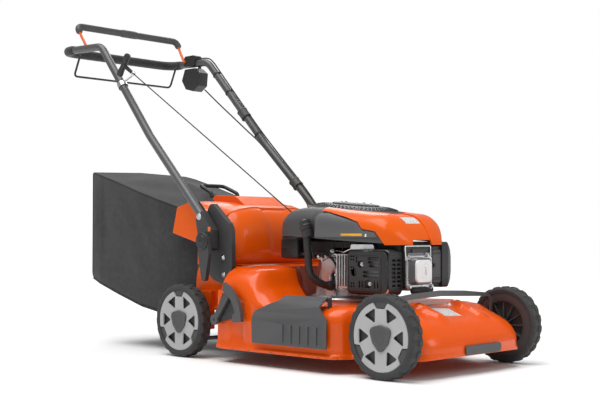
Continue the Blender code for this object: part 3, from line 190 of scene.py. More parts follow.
def printed(name, ground, ink, period, share):
    """A paper label with rows of plain gray bars where a real one has print."""
    mat = finish(name, ground, 0.35, coat=0.3, vary=0.03, patch=30.0)
    nodes, links = mat.node_tree.nodes, mat.node_tree.links
    shader = nodes["Principled BSDF"]
    coord = nodes.new("ShaderNodeTexCoord").outputs["Object"]
    brick = nodes.new("ShaderNodeTexBrick")
    for socket, value in (("Color1", (*ink, 1.0)), ("Color2", (*ground, 1.0)), ("Mortar", (*ground, 1.0)),
                          ("Scale", 1.0), ("Mortar Size", period * share), ("Brick Width", period * 1.6),
                          ("Row Height", period)):
        brick.inputs[socket].default_value = value
    links.new(coord, brick.inputs["Vector"])
    shade = mix(nodes, links, 0.8, shader.inputs["Base Color"].links[0].from_socket, brick.outputs["Color"])
    links.new(shade, shader.inputs["Base Color"])
    return mat


ORANGE = (0.76, 0.088, 0.0012)
M = {
    "paint": finish("orange_paint", ORANGE, 0.26, coat=0.22, vary=0.035, patch=5.0, grain=0.00003,
                    grain_size=260,
                    wear=0.06, wear_colour=(0.9, 0.2, 0.02), dust=0.006, specular=0.22),
    "hood": finish("orange_plastic", (0.78, 0.105, 0.002), 0.32, coat=0.14, vary=0.03, patch=6.0,
                   grain=0.00004,
                   grain_size=1500, dust=0.006, specular=0.2),
    "gray": finish("gray_plastic", (0.062, 0.062, 0.065), 0.48, vary=0.06, grain=0.00006, grain_size=1700,
                   wear=0.25, wear_colour=(0.14, 0.14, 0.145), dust=0.02),
    "panel": finish("panel_gray", (0.092, 0.093, 0.097), 0.44, vary=0.04, grain=0.00005, grain_size=1700,
                    wear=0.2, wear_colour=(0.16, 0.16, 0.165), dust=0.015),
    "hub": finish("hub_plastic", (0.05, 0.05, 0.051), 0.52, vary=0.06, grain=0.00005, grain_size=1700,
                  wear=0.2, wear_colour=(0.09, 0.09, 0.092), dust=0.02),
    "charcoal": finish("charcoal_plastic", (0.033, 0.033, 0.034), 0.46, vary=0.06, grain=0.00006,
                       grain_size=1700,
                       wear=0.25, wear_colour=(0.09, 0.09, 0.092), dust=0.02),
    "black": finish("black_plastic", (0.016, 0.016, 0.017), 0.42, vary=0.1, grain=0.00005, grain_size=1700,
                    wear=0.25, wear_colour=(0.06, 0.06, 0.062), dust=0.02),
    "tube": finish("tube_coat", (0.074, 0.075, 0.078), 0.38, vary=0.05, grain=0.00003, grain_size=1100,
                   wear=0.2,
                   wear_colour=(0.16, 0.16, 0.165), dust=0.012, specular=0.6),
    "foam": finish("foam_rubber", (0.02, 0.02, 0.021), 0.72, vary=0.12, grain=0.00018, grain_size=800,
                   sheen=0.15),
    "tyre": finish("tyre_rubber", (0.03, 0.03, 0.031), 0.74, vary=0.12, patch=20.0, grain=0.00008,
                   grain_size=700, dust=0.05, wear=0.2, wear_colour=(0.1, 0.1, 0.1)),
    "rim": finish("rim_silver", (0.4, 0.4, 0.405), 0.4, vary=0.035, grain=0.00003, grain_size=1400,
                  dust=0.02),
    "cast": finish("cast_aluminium", (0.6, 0.6, 0.61), 0.36, metal=0.85, vary=0.14, patch=26.0,
                   grain=0.00016,
                   grain_size=620, wear=0.4, wear_colour=(0.85, 0.85, 0.86), dust=0.05),
    "bright": finish("bright_aluminium", (0.78, 0.78, 0.785), 0.28, metal=0.7, vary=0.06, patch=20.0,
                     grain=0.00006, grain_size=900),
    "plate": finish("valve_plate", (0.8, 0.8, 0.8), 0.42, metal=0.15, vary=0.04, patch=30.0, grain=0.00004,
                    grain_size=1200, dust=0.02),
    "zinc": finish("zinc_steel", (0.66, 0.67, 0.68), 0.25, metal=1.0, vary=0.1, patch=40.0, grain=0.00003,
                   grain_size=1500, dust=0.03),
    "bar": finish("brushed_bar", (0.34, 0.345, 0.35), 0.34, metal=0.9, vary=0.16, patch=60.0, grain=0.00004,
                  grain_size=1200, streak=(1.0, 0.08, 1.0), dust=0.03),
    "axle": finish("axle_steel", (0.115, 0.116, 0.12), 0.42, metal=0.35, vary=0.1, patch=30.0,
                   grain=0.00004,
                   grain_size=1200, dust=0.03),
    "iron": finish("machined_iron", (0.2, 0.2, 0.21), 0.5, metal=0.8, vary=0.15, grain=0.0001,
                   grain_size=800),
    "belt": finish("belt_rubber", (0.022, 0.022, 0.022), 0.8, vary=0.1, grain=0.0001, grain_size=900),
    "dark": finish("shadow_plastic", (0.006, 0.006, 0.006), 0.7, vary=0.1, grain=0.0001, grain_size=500),
    "cloth": woven("bag_cloth", (0.034, 0.034, 0.035), 0.0016, 0.00022),
    "tape": woven("bag_tape", (0.016, 0.016, 0.017), 0.0011, 0.0002),
    "label": printed("plain_label", (0.74, 0.74, 0.72), (0.3, 0.3, 0.31), 0.006, 0.22),
    "sticker": printed("yellow_sticker", (0.82, 0.42, 0.02), (0.3, 0.12, 0.01), 0.004, 0.25),
    "white": finish("white_mark", (0.8, 0.8, 0.79), 0.4, vary=0.04, patch=30.0, grain=0.00002,
                    grain_size=1500),
    "marker": finish("orange_mark", (0.88, 0.16, 0.03), 0.4, vary=0.05, patch=40.0, grain=0.00003,
                     grain_size=1500),
}


# ---------------------------------------------------------------- shapes
def skin(rings, closed=False, caps=True, strip=False):
    """A skin over rings of equal length; the ends are capped unless the rings close on themselves.
    A strip's rings are open lines."""
    bm = bmesh.new()
    rows = [[bm.verts.new(p) for p in ring] for ring in rings]
    count = len(rows[0])
    for a, b in (zip(rows, rows[1:] + rows[:1]) if closed else zip(rows, rows[1:])):
        for i in range(count - strip):
            j = (i + 1) % count
            bm.faces.new((a[i], a[j], b[j], b[i]))
    if caps and not closed:
        bm.faces.new(list(reversed(rows[0])))
        bm.faces.new(rows[-1])
    bmesh.ops.recalc_face_normals(bm, faces=bm.faces)
    return bm


def prism(outline, axis, low, high):
    """An outline extruded along one axis; its points lie in the other two axes, in X, Y, Z order."""
    place = {"X": lambda p, h: (h, p[0], p[1]), "Y": lambda p, h: (p[0], h, p[1]),
             "Z": lambda p, h: (p[0], p[1], h)}[axis]
    return skin([[place(p, h) for p in outline] for h in (low, high)])


def block(low, high):
    """An upright block between two corners."""
    return prism([(low[0], low[1]), (high[0], low[1]), (high[0], high[1]), (low[0], high[1])], "Z", low[2],
                 high[2])


def arc(centre, radius, start, end, steps):
    """Points along a circle's arc, angles in degrees, both ends included."""
    angles = [radians(start + (end - start) * i / steps) for i in range(steps + 1)]
    return [(centre[0] + radius * cos(a), centre[1] + radius * sin(a)) for a in angles]


def rounded(low, high, radius, steps=6):
    """A rectangle's outline with round corners."""
    points = []
    for cx, cy, start in ((high[0] - radius, low[1] + radius, -90), (high[0] - radius, high[1] - radius, 0),
                          (low[0] + radius, high[1] - radius, 90), (low[0] + radius, low[1] + radius, 180)):
        points += arc((cx, cy), radius, start, start + 90, steps)
    return points


def fan(radius, middle, turns):
    """Points on a circle, at these turns in radians from a middle angle."""
    return [(radius * cos(middle + t), radius * sin(middle + t)) for t in turns]


def circle(radius, count, centre=(0.0, 0.0)):
    """Points evenly round a circle."""
    angles = [2 * pi * k / count for k in range(count)]
    return [(centre[0] + u, centre[1] + v) for u, v in fan(radius, 0.0, angles)]


def tiers(steps, low, high, radius, corner=6):
    """A body of round-cornered outlines in y and z; at each x, one drawn to a share about its middle."""
    cy, cz = (low[0] + high[0]) / 2, (low[1] + high[1]) / 2
    outline = rounded(low, high, radius, corner)
    return skin([[(x, cy + (y - cy) * share, cz + (z - cz) * share) for y, z in outline]
                 for x, share in steps])


def slab_of(low, high):
    """A closed body between two grids of points of the same size."""
    bm = bmesh.new()
    low, high = [[[bm.verts.new(q) for q in row] for row in grid] for grid in (low, high)]
    pairs = [pair for grid in (low, high) for pair in zip(grid, grid[1:])]
    pairs += [(low[0], high[0]), (low[-1], high[-1])]
    pairs += [([row[end] for row in low], [row[end] for row in high]) for end in (0, -1)]
    for a, b in pairs:
        for k in range(len(a) - 1):
            bm.faces.new((a[k], a[k + 1], b[k + 1], b[k]))
    bmesh.ops.recalc_face_normals(bm, faces=bm.faces)
    return bm


def across(direction):
    """Two unit vectors square to a direction and to each other."""
    d = Vector(direction).normalized()
    side = d.cross(Vector((0, 0, 1))) if abs(d.z) < 0.9 else d.cross(Vector((0, 1, 0)))
    side.normalize()
    return side, side.cross(d)


def turned(profile, origin, direction, steps=48):
    """A closed profile of (radius, height) points turned once about an axis through origin."""
    d = Vector(direction).normalized()
    side, up = across(d)
    rings = []
    for i in range(steps):
        a = 2 * pi * i / steps
        out = side * cos(a) + up * sin(a)
        rings.append([Vector(origin) + out * r + d * h for r, h in profile])
    return skin(rings, closed=True)


def rod(start, end, radius, sides=24, end_radius=None):
    """A straight round bar, or a cone when end_radius is given."""
    a, b = Vector(start), Vector(end)
    side, up = across(b - a)
    rings = [[c + (side * cos(2 * pi * k / sides) + up * sin(2 * pi * k / sides)) * r for k in range(sides)]
             for c, r in ((a, radius), (b, radius if end_radius is None else end_radius))]
    return skin(rings)


def bent(points, radius, steps=10):
    """A path's corners replaced by round bends of the given radius."""
    path = [Vector(points[0])]
    last = len(points) - 2
    for n, (before, corner, after) in enumerate(zip(points, points[1:], points[2:]), start=1):
        b, c, a = Vector(before), Vector(corner), Vector(after)
        u, v = (b - c).normalized(), (a - c).normalized()
        half_turn = u.angle(v) / 2
        room_before = (b - c).length * (0.95 if n == 1 else 0.45)
        room_after = (a - c).length * (0.95 if n == last else 0.45)
        cut = min(radius * cos(half_turn) / sin(half_turn), room_before, room_after)
        p, q = c + u * cut, c + v * cut
        for k in range(steps + 1):
            t = k / steps
            path.append(p * (1 - t) ** 2 + c * 2 * t * (1 - t) + q * t ** 2)
    path.append(Vector(points[-1]))
    return path


def smooth(points, steps):
    """A Catmull-Rom curve read through a list of points."""
    pts = [Vector(p) for p in points]
    pts = [pts[0] * 2 - pts[1]] + pts + [pts[-1] * 2 - pts[-2]]
    path = []
    for a, b, c, d in zip(pts, pts[1:], pts[2:], pts[3:]):
        for k in range(steps):
            t = k / steps
            path.append(0.5 * ((b * 2) + (c - a) * t + (a * 2 - b * 5 + c * 4 - d) * t ** 2
                               + (b * 3 - a - c * 3 + d) * t ** 3))
    path.append(pts[-2])
    return path


def swept(path, radius, sides=20, shape=None):
    """A round bar along a path; shape(share, angle) scales the radius along and around it."""
    path = [Vector(p) for p in path]
    tangents = [(path[min(i + 1, len(path) - 1)] - path[max(i - 1, 0)]).normalized()
                for i in range(len(path))]
    side, up = across(tangents[0])
    rings = []
    for i, (p, t) in enumerate(zip(path, tangents)):
        side = (side - t * side.dot(t)).normalized()
        up = side.cross(t)
        ring = []
        for k in range(sides):
            a = 2 * pi * k / sides
            r = radius * (shape(i / (len(path) - 1), a) if shape else 1.0)
            ring.append(p + side * (r * cos(a)) + up * (r * sin(a)))
        rings.append(ring)
    return skin(rings)


def filled(path, step=0.012):
    """The path with points added on its long stretches."""
    out = [Vector(path[0])]
    for a, b in zip(path, path[1:]):
        a, b = Vector(a), Vector(b)
        count = max(1, int((b - a).length / step))
        out += [a.lerp(b, k / count) for k in range(1, count + 1)]
    return out


def joined(parts):
    """Several bmeshes as one, each still its own shell."""
    whole = bmesh.new()
    for bm in parts:
        mesh = bpy.data.meshes.new("part")
        bm.to_mesh(mesh)
        bm.free()
        whole.from_mesh(mesh)
        bpy.data.meshes.remove(mesh)
    return whole


def fair(xs, ys):
    """A smooth function through points with no overshoot."""
    xs, ys = np.array(xs, float), np.array(ys, float)
    step = np.diff(xs)
    slope = np.diff(ys) / step
    product, total = slope[1:] * slope[:-1], slope[1:] + slope[:-1] + 1e-12
    tangent = np.concatenate([[slope[0]], np.where(product > 0, 2 * product / total, 0.0), [slope[-1]]])

    def at(x):
        i = int(np.clip(np.searchsorted(xs, x) - 1, 0, len(step) - 1))
        t = min(max((x - xs[i]) / step[i], 0.0), 1.0)
        a, b = 2 * t ** 3 - 3 * t ** 2 + 1, t ** 3 - 2 * t ** 2 + t
        return float(a * ys[i] + b * step[i] * tangent[i] + (1 - a) * ys[i + 1]
                     + (t ** 3 - t ** 2) * step[i] * tangent[i + 1])

    return at


def ease(x, low, high):
    """0 below low, 1 above high and smooth between."""
    t = min(max((x - low) / (high - low), 0.0), 1.0)
    return t * t * (3 - 2 * t)


# ---------------------------------------------------------------- objects
SHARP = 30
USUAL_SLOT = {
    "paint": "orange_paint", "hood": "orange_plastic", "marker": "orange_plastic", "gray": "gray_plastic",
    "sticker": "gray_plastic", "white": "gray_plastic", "charcoal": "black_plastic",
    "black": "black_plastic",
    "dark": "black_plastic", "foam": "rubber", "tyre": "rubber", "hub": "rim_silver", "rim": "rim_silver",
    "tube": "gray_tube", "zinc": "steel", "cast": "aluminium", "bright": "aluminium", "plate": "aluminium",
    "iron": "aluminium", "tape": "fabric",
}


def raw(name, bm, mat, angle=SHARP):
    """A mesh object made from a bmesh, smooth but for edges sharper than angle."""
    mesh = bpy.data.meshes.new(name)
    bm.to_mesh(mesh)
    bm.free()
    mesh.shade_smooth()
    mesh.set_sharp_from_angle(angle=radians(angle))
    mesh.materials.append(mat)
    thing = bpy.data.objects.new(name, mesh)
    bpy.context.scene.collection.objects.link(thing)
    return thing


def bake(thing):
    """The object's modifiers applied to its mesh."""
    graph = bpy.context.evaluated_depsgraph_get()
    mesh = bpy.data.meshes.new_from_object(thing.evaluated_get(graph))
    thing.modifiers.clear()
    old = thing.data
    thing.data = mesh
    bpy.data.meshes.remove(old)
    mesh.shade_smooth()
    mesh.set_sharp_from_angle(angle=radians(SHARP))


def carve(thing, tools, operation="DIFFERENCE"):
    """Booleans of thing with each tool in turn, applied."""
    for n, bm in enumerate(tools):
        helper = raw(f"{thing.name}_tool{n}", bm, thing.data.materials[0])
        boolean = thing.modifiers.new("cut", "BOOLEAN")
        boolean.operation = operation
        boolean.solver = "EXACT"
        boolean.object = helper
        bake(thing)
        bpy.data.objects.remove(helper)
    return thing


def soften(thing, width, segments=2, angle=32):
    """Round off the sharp edges."""
    bevel = thing.modifiers.new("edge", "BEVEL")
    bevel.width = width
    bevel.segments = segments
    bevel.limit_method = "ANGLE"
    bevel.angle_limit = radians(angle)
    bevel.harden_normals = True
    bevel.use_clamp_overlap = True
    return thing


def place(thing, body, slot=None, stands_for=()):
    """Ride on a body, standing for CAD nodes, which are hidden; the slot, the node's unless given, is
    looked up but not stored.
    """
    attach(thing, body)
    slot or NODE_SLOT[stands_for[0]]
    if stands_for:
        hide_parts(*stands_for)
    return thing


def taken(thing):
    """A helper object's mesh; the object is removed."""
    bm = bmesh.new()
    bm.from_mesh(thing.data)
    bpy.data.objects.remove(thing)
    return bm


def make(name, bm, mat, body="deck", slot=None, bevel=0.0, segments=2, angle=30, stands_for=(), minus=()):
    """A finished piece; the slot it hands on, the usual one of its material unless another is given, is not
    stored.
    """
    thing = raw(name, bm, M[mat], angle)
    if minus:
        carve(thing, minus)
    if bevel:
        soften(thing, bevel, segments, angle)
    return place(thing, body, slot=slot or USUAL_SLOT[mat], stands_for=stands_for)


def pad(name, axis, low, high, radius, near, far, mat, steps=5, **more):
    """A piece with a round-cornered outline, extruded along one axis from near to far."""
    return make(name, prism(rounded(low, high, radius, steps), axis, near, far), mat, **more)


def refine(node, mat, bevel):
    """A CAD node's solid with its seams welded and its edges rounded, standing for the node."""
    bm = bmesh.new()
    bm.from_mesh(frame["nodes"][node].data)
    bmesh.ops.remove_doubles(bm, verts=bm.verts, dist=3e-6)
    bmesh.ops.dissolve_limit(bm, angle_limit=radians(0.6), verts=bm.verts, edges=bm.edges)
    thing = raw(f"{node}_skin", bm, M[mat], 28)
    soften(thing, bevel, 2, 28)
    return place(thing, NODE_BODY[node], stands_for=[node])


def bolt_head(at, direction, size=0.0055, washer=0.0085, height=0.004):
    """A hexagon head on its washer, sitting at a point and facing along direction."""
    at, d = Vector(at), Vector(direction).normalized()
    side, up = across(d)
    head = skin([[at + d * h + (side * u + up * v) * r for u, v in circle(1.0, 6)]
                 for r, h in ((size, 0.0012), (size, height), (size * 0.82, height + 0.0009))])
    disc = turned([(0.0008, -0.0004), (washer, -0.0004), (washer, 0.0009), (washer - 0.0004, 0.0013),
                   (0.0008, 0.0013)], at, d, 24)
    return joined([head, disc])


def bolts(name, spots, direction, size, washer, height, mat="zinc", body="deck", slot=None):
    """Bolt heads of one size that face one way, as one piece."""
    return make(name, joined([bolt_head(at, direction, size, washer, height) for at in spots]), mat, body,
                slot)


# ---------------------------------------------------------------- wheels
WHEEL_IN, WHEEL_R, RIM_R = 0.241, 0.105, 0.0866


def tyre(centre, out):
    """A tyre with two staggered rows of tread blocks and scalloped shoulders."""
    blocks, high, low, shoulder = 22, WHEEL_R, 0.1026, 0.1006
    columns = [(0.002, 0.0869, None), (0.0006, 0.0915, None), (0.0006, 0.0965, None), (0.003, shoulder, 0),
               (0.0056, high, 0), (0.018, high, 0), (0.019, low, None), (0.0228, low, None),
               (0.0238, high, 1), (0.0364, high, 1), (0.0392, shoulder, 1), (0.0414, 0.0965, None),
               (0.0414, 0.0915, None), (0.04, 0.0869, None)]
    samples = (0.0, 0.06, 0.3, 0.54, 0.6, 0.8)
    d = Vector(out)
    side, up = across(d)
    rings = []
    for b in range(blocks):
        for t in samples:
            a = 2 * pi * (b + t) / blocks
            ring = []
            for h, r, row in columns:
                raised = 0.0 < (t if row == 0 else (t + 0.5) % 1.0) < 0.56
                if row is not None and not raised:
                    r = low - 0.0022 if r < high else low
                ring.append(Vector(centre) + (side * cos(a) + up * sin(a)) * r + d * h)
            rings.append(ring)
    return skin(rings, closed=True)


def wheel(end, side, sign, x):
    """Tyre, dark hub, silver face plate and plain cap of one wheel."""
    name, body = f"{end}_{side}", f"wheel_{end}_{side}"
    centre, out = (x, sign * WHEEL_IN, WHEEL_R), (0, sign, 0)
    make(f"tyre_{name}_tread", tyre(centre, out), "tyre", body, stands_for=[f"tyre_{name}"], angle=22)

    def slab(outline, low=0.02, high=0.05):
        near, far = sorted((sign * (WHEEL_IN + low), sign * (WHEEL_IN + high)))
        return prism([(x + u, WHEEL_R + v) for u, v in outline], "Y", near, far)

    hub = [(0.0064, 0.0015), (0.016, 0.0015), (0.016, 0.02), (0.0625, 0.02), (0.064, 0.005), (0.068, 0.003),
           (RIM_R, 0.003), (RIM_R, 0.035), (0.08, 0.035), (0.074, 0.029), (0.034, 0.029), (0.026, 0.033),
           (0.0064, 0.033)]
    make(f"hub_{name}", turned(hub, centre, out, 72), "hub", body, stands_for=[f"rim_{name}"], bevel=0.0006)
    facing = Matrix.Translation(centre) @ Vector(out).to_track_quat("Z", "X").to_matrix().to_4x4()
    ribs, cuts = [], []
    for k in range(12):
        rib = block((0.017, -0.0012, 0.0075), (0.0622, 0.0012, 0.02))
        rib.transform(facing @ Matrix.Rotation(2 * pi * k / 12, 4, "Z"))
        ribs.append(rib)
    for k in range(3):
        a = radians(90 + 120 * k)
        lobe = fan(RIM_R, a, np.linspace(-0.24, 0.24, 9)) + fan(0.071, a, (0.16, 0.05, -0.05, -0.16))
        ribs.append(slab(lobe, 0.034, 0.0376))
        cuts.append(slab(fan(0.095, a, (-0.3, 0.3)) + fan(0.07, a, (0.19, -0.19))))
    make(f"hub_ribs_{name}", joined(ribs), "hub", body, bevel=0.0005)
    tip, base, wide, blunt, corner = 0.0405, 0.07, 0.0185, 0.0022, 0.003
    window = [(tip, blunt), (tip, -blunt), (base - corner, -wide), (base, -wide + corner),
              (base, wide - corner), (base - corner, wide)]
    for k in range(6):
        a = radians(60 * k)
        cuts.append(slab([(u * cos(a) - v * sin(a), u * sin(a) + v * cos(a)) for u, v in window]))
    cuts.append(slab(circle(0.0075, 32)))
    dish = [(0.001, 0.0345), (0.03, 0.0345), (0.066, 0.035), (0.0866, 0.0352), (0.0866, 0.038),
            (0.0848, 0.0398), (0.079, 0.0398), (0.07, 0.0388), (0.03, 0.0374), (0.001, 0.0374)]
    soften(make(f"face_{name}", turned(dish, centre, out, 90), "rim", body, minus=cuts), 0.0007, 2)
    cap = []
    for k in range(72):
        a = 2 * pi * k / 72
        r = 0.0312 * (1 - 0.115 * cos(3 * (a + pi / 6)) + 0.045 * cos(6 * (a + pi / 6)))
        cap.append((r * cos(a), r * sin(a)))
    domed = [(0.96, 0.037), (1.0, 0.0385), (0.985, 0.0412), (0.93, 0.0424), (0.6, 0.0428), (0.55, 0.042),
             (0.2, 0.042)]
    rings = [[(x + u * s, sign * (WHEEL_IN + h), WHEEL_R + v * s) for u, v in cap] for s, h in domed]
    make(f"cap_{name}", skin(rings), "gray", body, angle=24)
    stub = [(0.001, -0.0005), (0.0105, -0.0005), (0.0105, -0.002), (0.0075, -0.002), (0.0075, -0.008),
            (0.001, -0.008)]
    stub_at = (x, sign * (WHEEL_IN - 0.001), WHEEL_R)
    make(f"nut_{name}", turned(stub, stub_at, out, 6), "zinc", f"{end}_axle", bevel=0.0004)


for end in ("front", "rear"):
    for side, sign in (("right", -1), ("left", 1)):
        low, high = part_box(f"tyre_{end}_{side}")
        wheel(end, side, sign, (low.x + high.x) / 2)


# ---------------------------------------------------------------- deck
DECK_STATIONS = (
    # x, half width, side wall top, top half width, top height, skirt bottom
    (-0.1, 0.205, 0.205, 0.188, 0.262, 0.135), (0.018, 0.205, 0.205, 0.19, 0.265, 0.135),
    (0.045, 0.215, 0.19, 0.205, 0.265, 0.05), (0.085, 0.284, 0.18, 0.208, 0.265, 0.04),
    (0.13, 0.284, 0.19, 0.208, 0.264, 0.038), (0.195, 0.284, 0.175, 0.205, 0.257, 0.038),
    (0.24, 0.284, 0.158, 0.202, 0.205, 0.038), (0.29, 0.284, 0.142, 0.205, 0.174, 0.038),
    (0.4, 0.284, 0.128, 0.225, 0.168, 0.038), (0.49, 0.282, 0.128, 0.225, 0.17, 0.038),
    (0.525, 0.262, 0.13, 0.21, 0.171, 0.038), (0.541, 0.234, 0.13, 0.195, 0.172, 0.038),
    (0.575, 0.226, 0.13, 0.19, 0.172, 0.04), (0.62, 0.225, 0.124, 0.165, 0.17, 0.041),
    (0.668, 0.224, 0.108, 0.135, 0.154, 0.042), (0.72, 0.215, 0.09, 0.125, 0.132, 0.044),
    (0.745, 0.195, 0.078, 0.115, 0.106, 0.046), (0.7545, 0.17, 0.072, 0.105, 0.088, 0.048),
)
DECK_FAIR = [fair([s[0] for s in DECK_STATIONS], [s[i] for s in DECK_STATIONS]) for i in range(1, 6)]
ENGINE_X, SEAT_Z, REAR_PIVOT_X = 0.3075, 0.165, -0.041066
LIP = 0.006


def deck_relief(x, y):
    """Pressed ribs and panels of the deck's top, in metres above the plain surface."""
    along = ease(x, 0.6, 0.622) * (1 - ease(x, 0.7, 0.73))
    rib = ease(abs(y), 0.064, 0.074) * (1 - ease(abs(y), 0.096, 0.106))
    ledge = ease(x, 0.06, 0.07) * (1 - ease(x, 0.15, 0.165)) * ease(abs(y), 0.15, 0.156)
    panel = ease(x, 0.6, 0.608) * (1 - ease(x, 0.69, 0.7)) * (1 - ease(abs(y), 0.052, 0.058))
    return 0.011 * along * rib - 0.002 * ledge - 0.003 * panel


def axle_room(x):
    """How far the top is lowered under the front height bar."""
    return 0.003 * ease(x, 0.505, 0.53) * (1 - ease(x, 0.61, 0.64))


def deck_ring(x, inset, drop):
    """One section of the deck, drawn in by inset and open to below by drop."""
    half, wall, top_half, top, low = (f(x) for f in DECK_FAIR)
    wall, top = wall - axle_room(x), top - axle_room(x)
    half, wall, low = half - inset, wall - inset / 2, low - drop
    top_half, top = top_half - inset / 2, top - inset
    if inset == 0:
        side = [(half + LIP - 0.0015, low), (half + LIP, low + 0.0015), (half + LIP, low + 0.0065),
                (half + 0.0035, low + 0.01), (half + 0.0008, low + 0.0125)]
    else:
        side = [(half, low + 0.003 * k) for k in range(5)]
    for k in range(8):
        z = low + 0.0145 + (wall - low - 0.0145) * k / 8
        recess = ease(x, 0.128, 0.14) * (1 - ease(x, 0.182, 0.194)) * ease(z, 0.06, 0.072)
        side.append((half - 0.0045 * recess * (1 - ease(z, 0.165, 0.182)), z))
    for k in range(13):
        a = radians(90 * k / 12)
        side.append((top_half + (half - top_half) * cos(a), wall + (top - wall) * sin(a)))
    for k in range(1, 15):
        side.append((top_half * (1 - k / 14.5), top))
    side = [(y, z + (deck_relief(x, y) if n > 20 else 0.0)) for n, (y, z) in enumerate(side)]
    return [(x, y, z) for y, z in side] + [(x, -y, z) for y, z in reversed(side)]


def deck_form(name, inset, drop):
    """The deck as a filled body, cut away at the engine seat and the side covers."""
    spans = ((-0.1, 0.018, 4), (0.018, 0.045, 7), (0.045, 0.085, 12), (0.085, 0.24, 30), (0.24, 0.49, 24),
             (0.49, 0.575, 18), (0.575, 0.7545, 36))
    xs = [a + (b - a) * k / n for a, b, n in spans for k in range(n)] + [0.7545]
    rings = [deck_ring(x, inset, drop) for x in xs]
    if inset:
        rings[0] = [(x - 0.05, y, z) for x, y, z in rings[0]]
        rings[-1] = [(x - 0.003, y, z) for x, y, z in rings[-1]]
    body = raw(name, skin(rings), M["paint"])
    seat = rod((ENGINE_X, 0, SEAT_Z - inset), (ENGINE_X, 0, 0.285), 0.125 + inset, 20, 0.15 + inset)
    pockets = []
    for sign in (-1, 1):
        near, far = sorted((sign * (0.2222 - inset), sign * 0.35))
        pockets.append(block((-0.2, near, 0.199 - inset), (0.0965 + inset, far, 0.4)))
    return carve(body, [seat] + pockets)


def deck():
    """Pressed steel deck shell with its rolled lip, ribs, openings and lugs."""
    shell = deck_form("deck_pressing", 0.0, 0.0)
    inner = taken(deck_form("deck_inside", 0.003, 0.06))
    shaft_hole = rod((ENGINE_X, 0, 0.1), (ENGINE_X, 0, 0.3), 0.0135, 24)
    duct_mouth = block((-0.094, -0.178, 0.24), (0.052, 0.178, 0.3))
    side_outlet = block((0.245, -0.35, 0.07), (0.47, -0.22, 0.124))
    carve(shell, [inner, shaft_hole, duct_mouth, side_outlet])
    place(shell, "deck", stands_for=["deck_shell"])
    lugs = []
    for sign in (-1, 1):
        near, far = sorted((sign * 0.2035, sign * 0.2215))
        lugs.append(block((REAR_PIVOT_X - 0.022, near, 0.08), (REAR_PIVOT_X + 0.022, far, 0.19)))
    make("deck_lugs", joined(lugs), "paint", bevel=0.002)
    ears = [block((x, -0.2565, 0.15), (x + 0.005, -0.243, 0.19)) for x in (0.3095, 0.4715)]
    make("deck_ears", joined(ears), "black", slot="orange_paint", bevel=0.002)
    # Near-black dots on the rolled lip, in the shadow finish: painted shade in the rivet dimples.
    marks = []
    for x in (0.15, 0.215, 0.3, 0.352, 0.405, 0.47, 0.52):
        edge = DECK_FAIR[0](x) + LIP
        for sign in (-1, 1):
            near, far = sign * (edge - 0.0004), sign * (edge + 0.0006)
            marks.append(rod((x, near, 0.0415), (x, far, 0.0415), 0.0016, 10))
    make("deck_lip_rivet_shade", joined(marks), "dark", slot="orange_paint")


def laid_label(name, height, xs, ys, skew=0.0, slot="orange_paint"):
    """A thin printed label lying on the surface height(x, y); skew slides its far edge forward."""
    def grid(lift):
        rows = []
        for i in range(9):
            spots = [(xs[0] + (xs[1] - xs[0]) * i / 8 + skew * j / 8, ys[0] + (ys[1] - ys[0]) * j / 8)
                     for j in range(9)]
            rows.append([(x, y, height(x, y) + lift) for x, y in spots])
        return rows

    make(name, slab_of(grid(0.0002), grid(0.0009)), "label", slot=slot)


def deck_top(x, y):
    """Height of the deck's top near its middle."""
    return DECK_FAIR[3](x) - axle_room(x) + deck_relief(x, y)


deck()
laid_label("nose_label", deck_top, (0.64, 0.685), (-0.044, 0.02), 0.01)
laid_label("rear_label", deck_top, (0.076, 0.108), (-0.186, -0.07), 0.004)
EDGES = (
    # CAD node, its material, and how wide its edges are rounded
    ("front_bumper", "gray", 0.0012), ("rear_baffle", "black", 0.0006), ("side_flap", "gray", 0.0016),
    ("side_cover_left", "charcoal", 0.002), ("side_cover_right", "charcoal", 0.002),
    ("height_quadrant", "black", 0.0005), ("height_lever", "gray", 0.0016), ("rear_axle", "bar", 0.0008),
    ("front_axle", "axle", 0.0008), ("drive_shaft", "zinc", 0.0005), ("gearbox", "cast", 0.0015),
    ("gearbox_pulley", "zinc", 0.0003), ("drive_belt", "belt", 0.0003), ("crankshaft", "zinc", 0.0004),
    ("blade", "bar", 0.0004), ("blade_bolt", "zinc", 0.0005), ("flywheel", "iron", 0.0006),
    # The cylinder takes the dark iron finish as painted shade, as its fins sit in shadow between the guard
    # and the frame.
    ("crankcase", "cast", 0.0018), ("cylinder", "iron", 0.0006), ("muffler", "iron", 0.0015),
    ("fuel_tank", "black", 0.003), ("dipstick", "black", 0.0012), ("fuel_cap", "black", 0.0012),
    ("carburettor", "cast", 0.0015), ("handle_bracket_left", "charcoal", 0.0025),
    ("handle_bracket_right", "charcoal", 0.0025), ("clamp_lever_left", "charcoal", 0.0035),
    ("clamp_lever_right", "charcoal", 0.0035), ("control_box", "black", 0.0045),
    ("speed_lever", "gray", 0.0012),
    ("bag_frame", "black", 0.002), ("bag_handle", "black", 0.001), ("recoil_cover", "gray", 0.0012),
    ("starter_guide", "zinc", 0.0006),
)
for node, mat, width in EDGES:
    refine(node, mat, width)


def fall(y, start=0.07, end=0.2):
    """0 at the middle and 1 at the ends, as a quarter circle between."""
    share = min(max((abs(y) - start) / (end - start), 0.0), 1.0)
    return 1.0 - (1.0 - share * share) ** 0.5


def arched(name, section, body, half=0.2, **extra):
    """An orange shell swept across the mower; section(y) gives its closed outline in x and z."""
    ys = [half * sin(0.5 * pi * (2 * k / 48 - 1)) for k in range(49)]
    make(name, skin([[(x, y, z) for x, z in section(y)] for y in ys]), "hood", body, **extra)


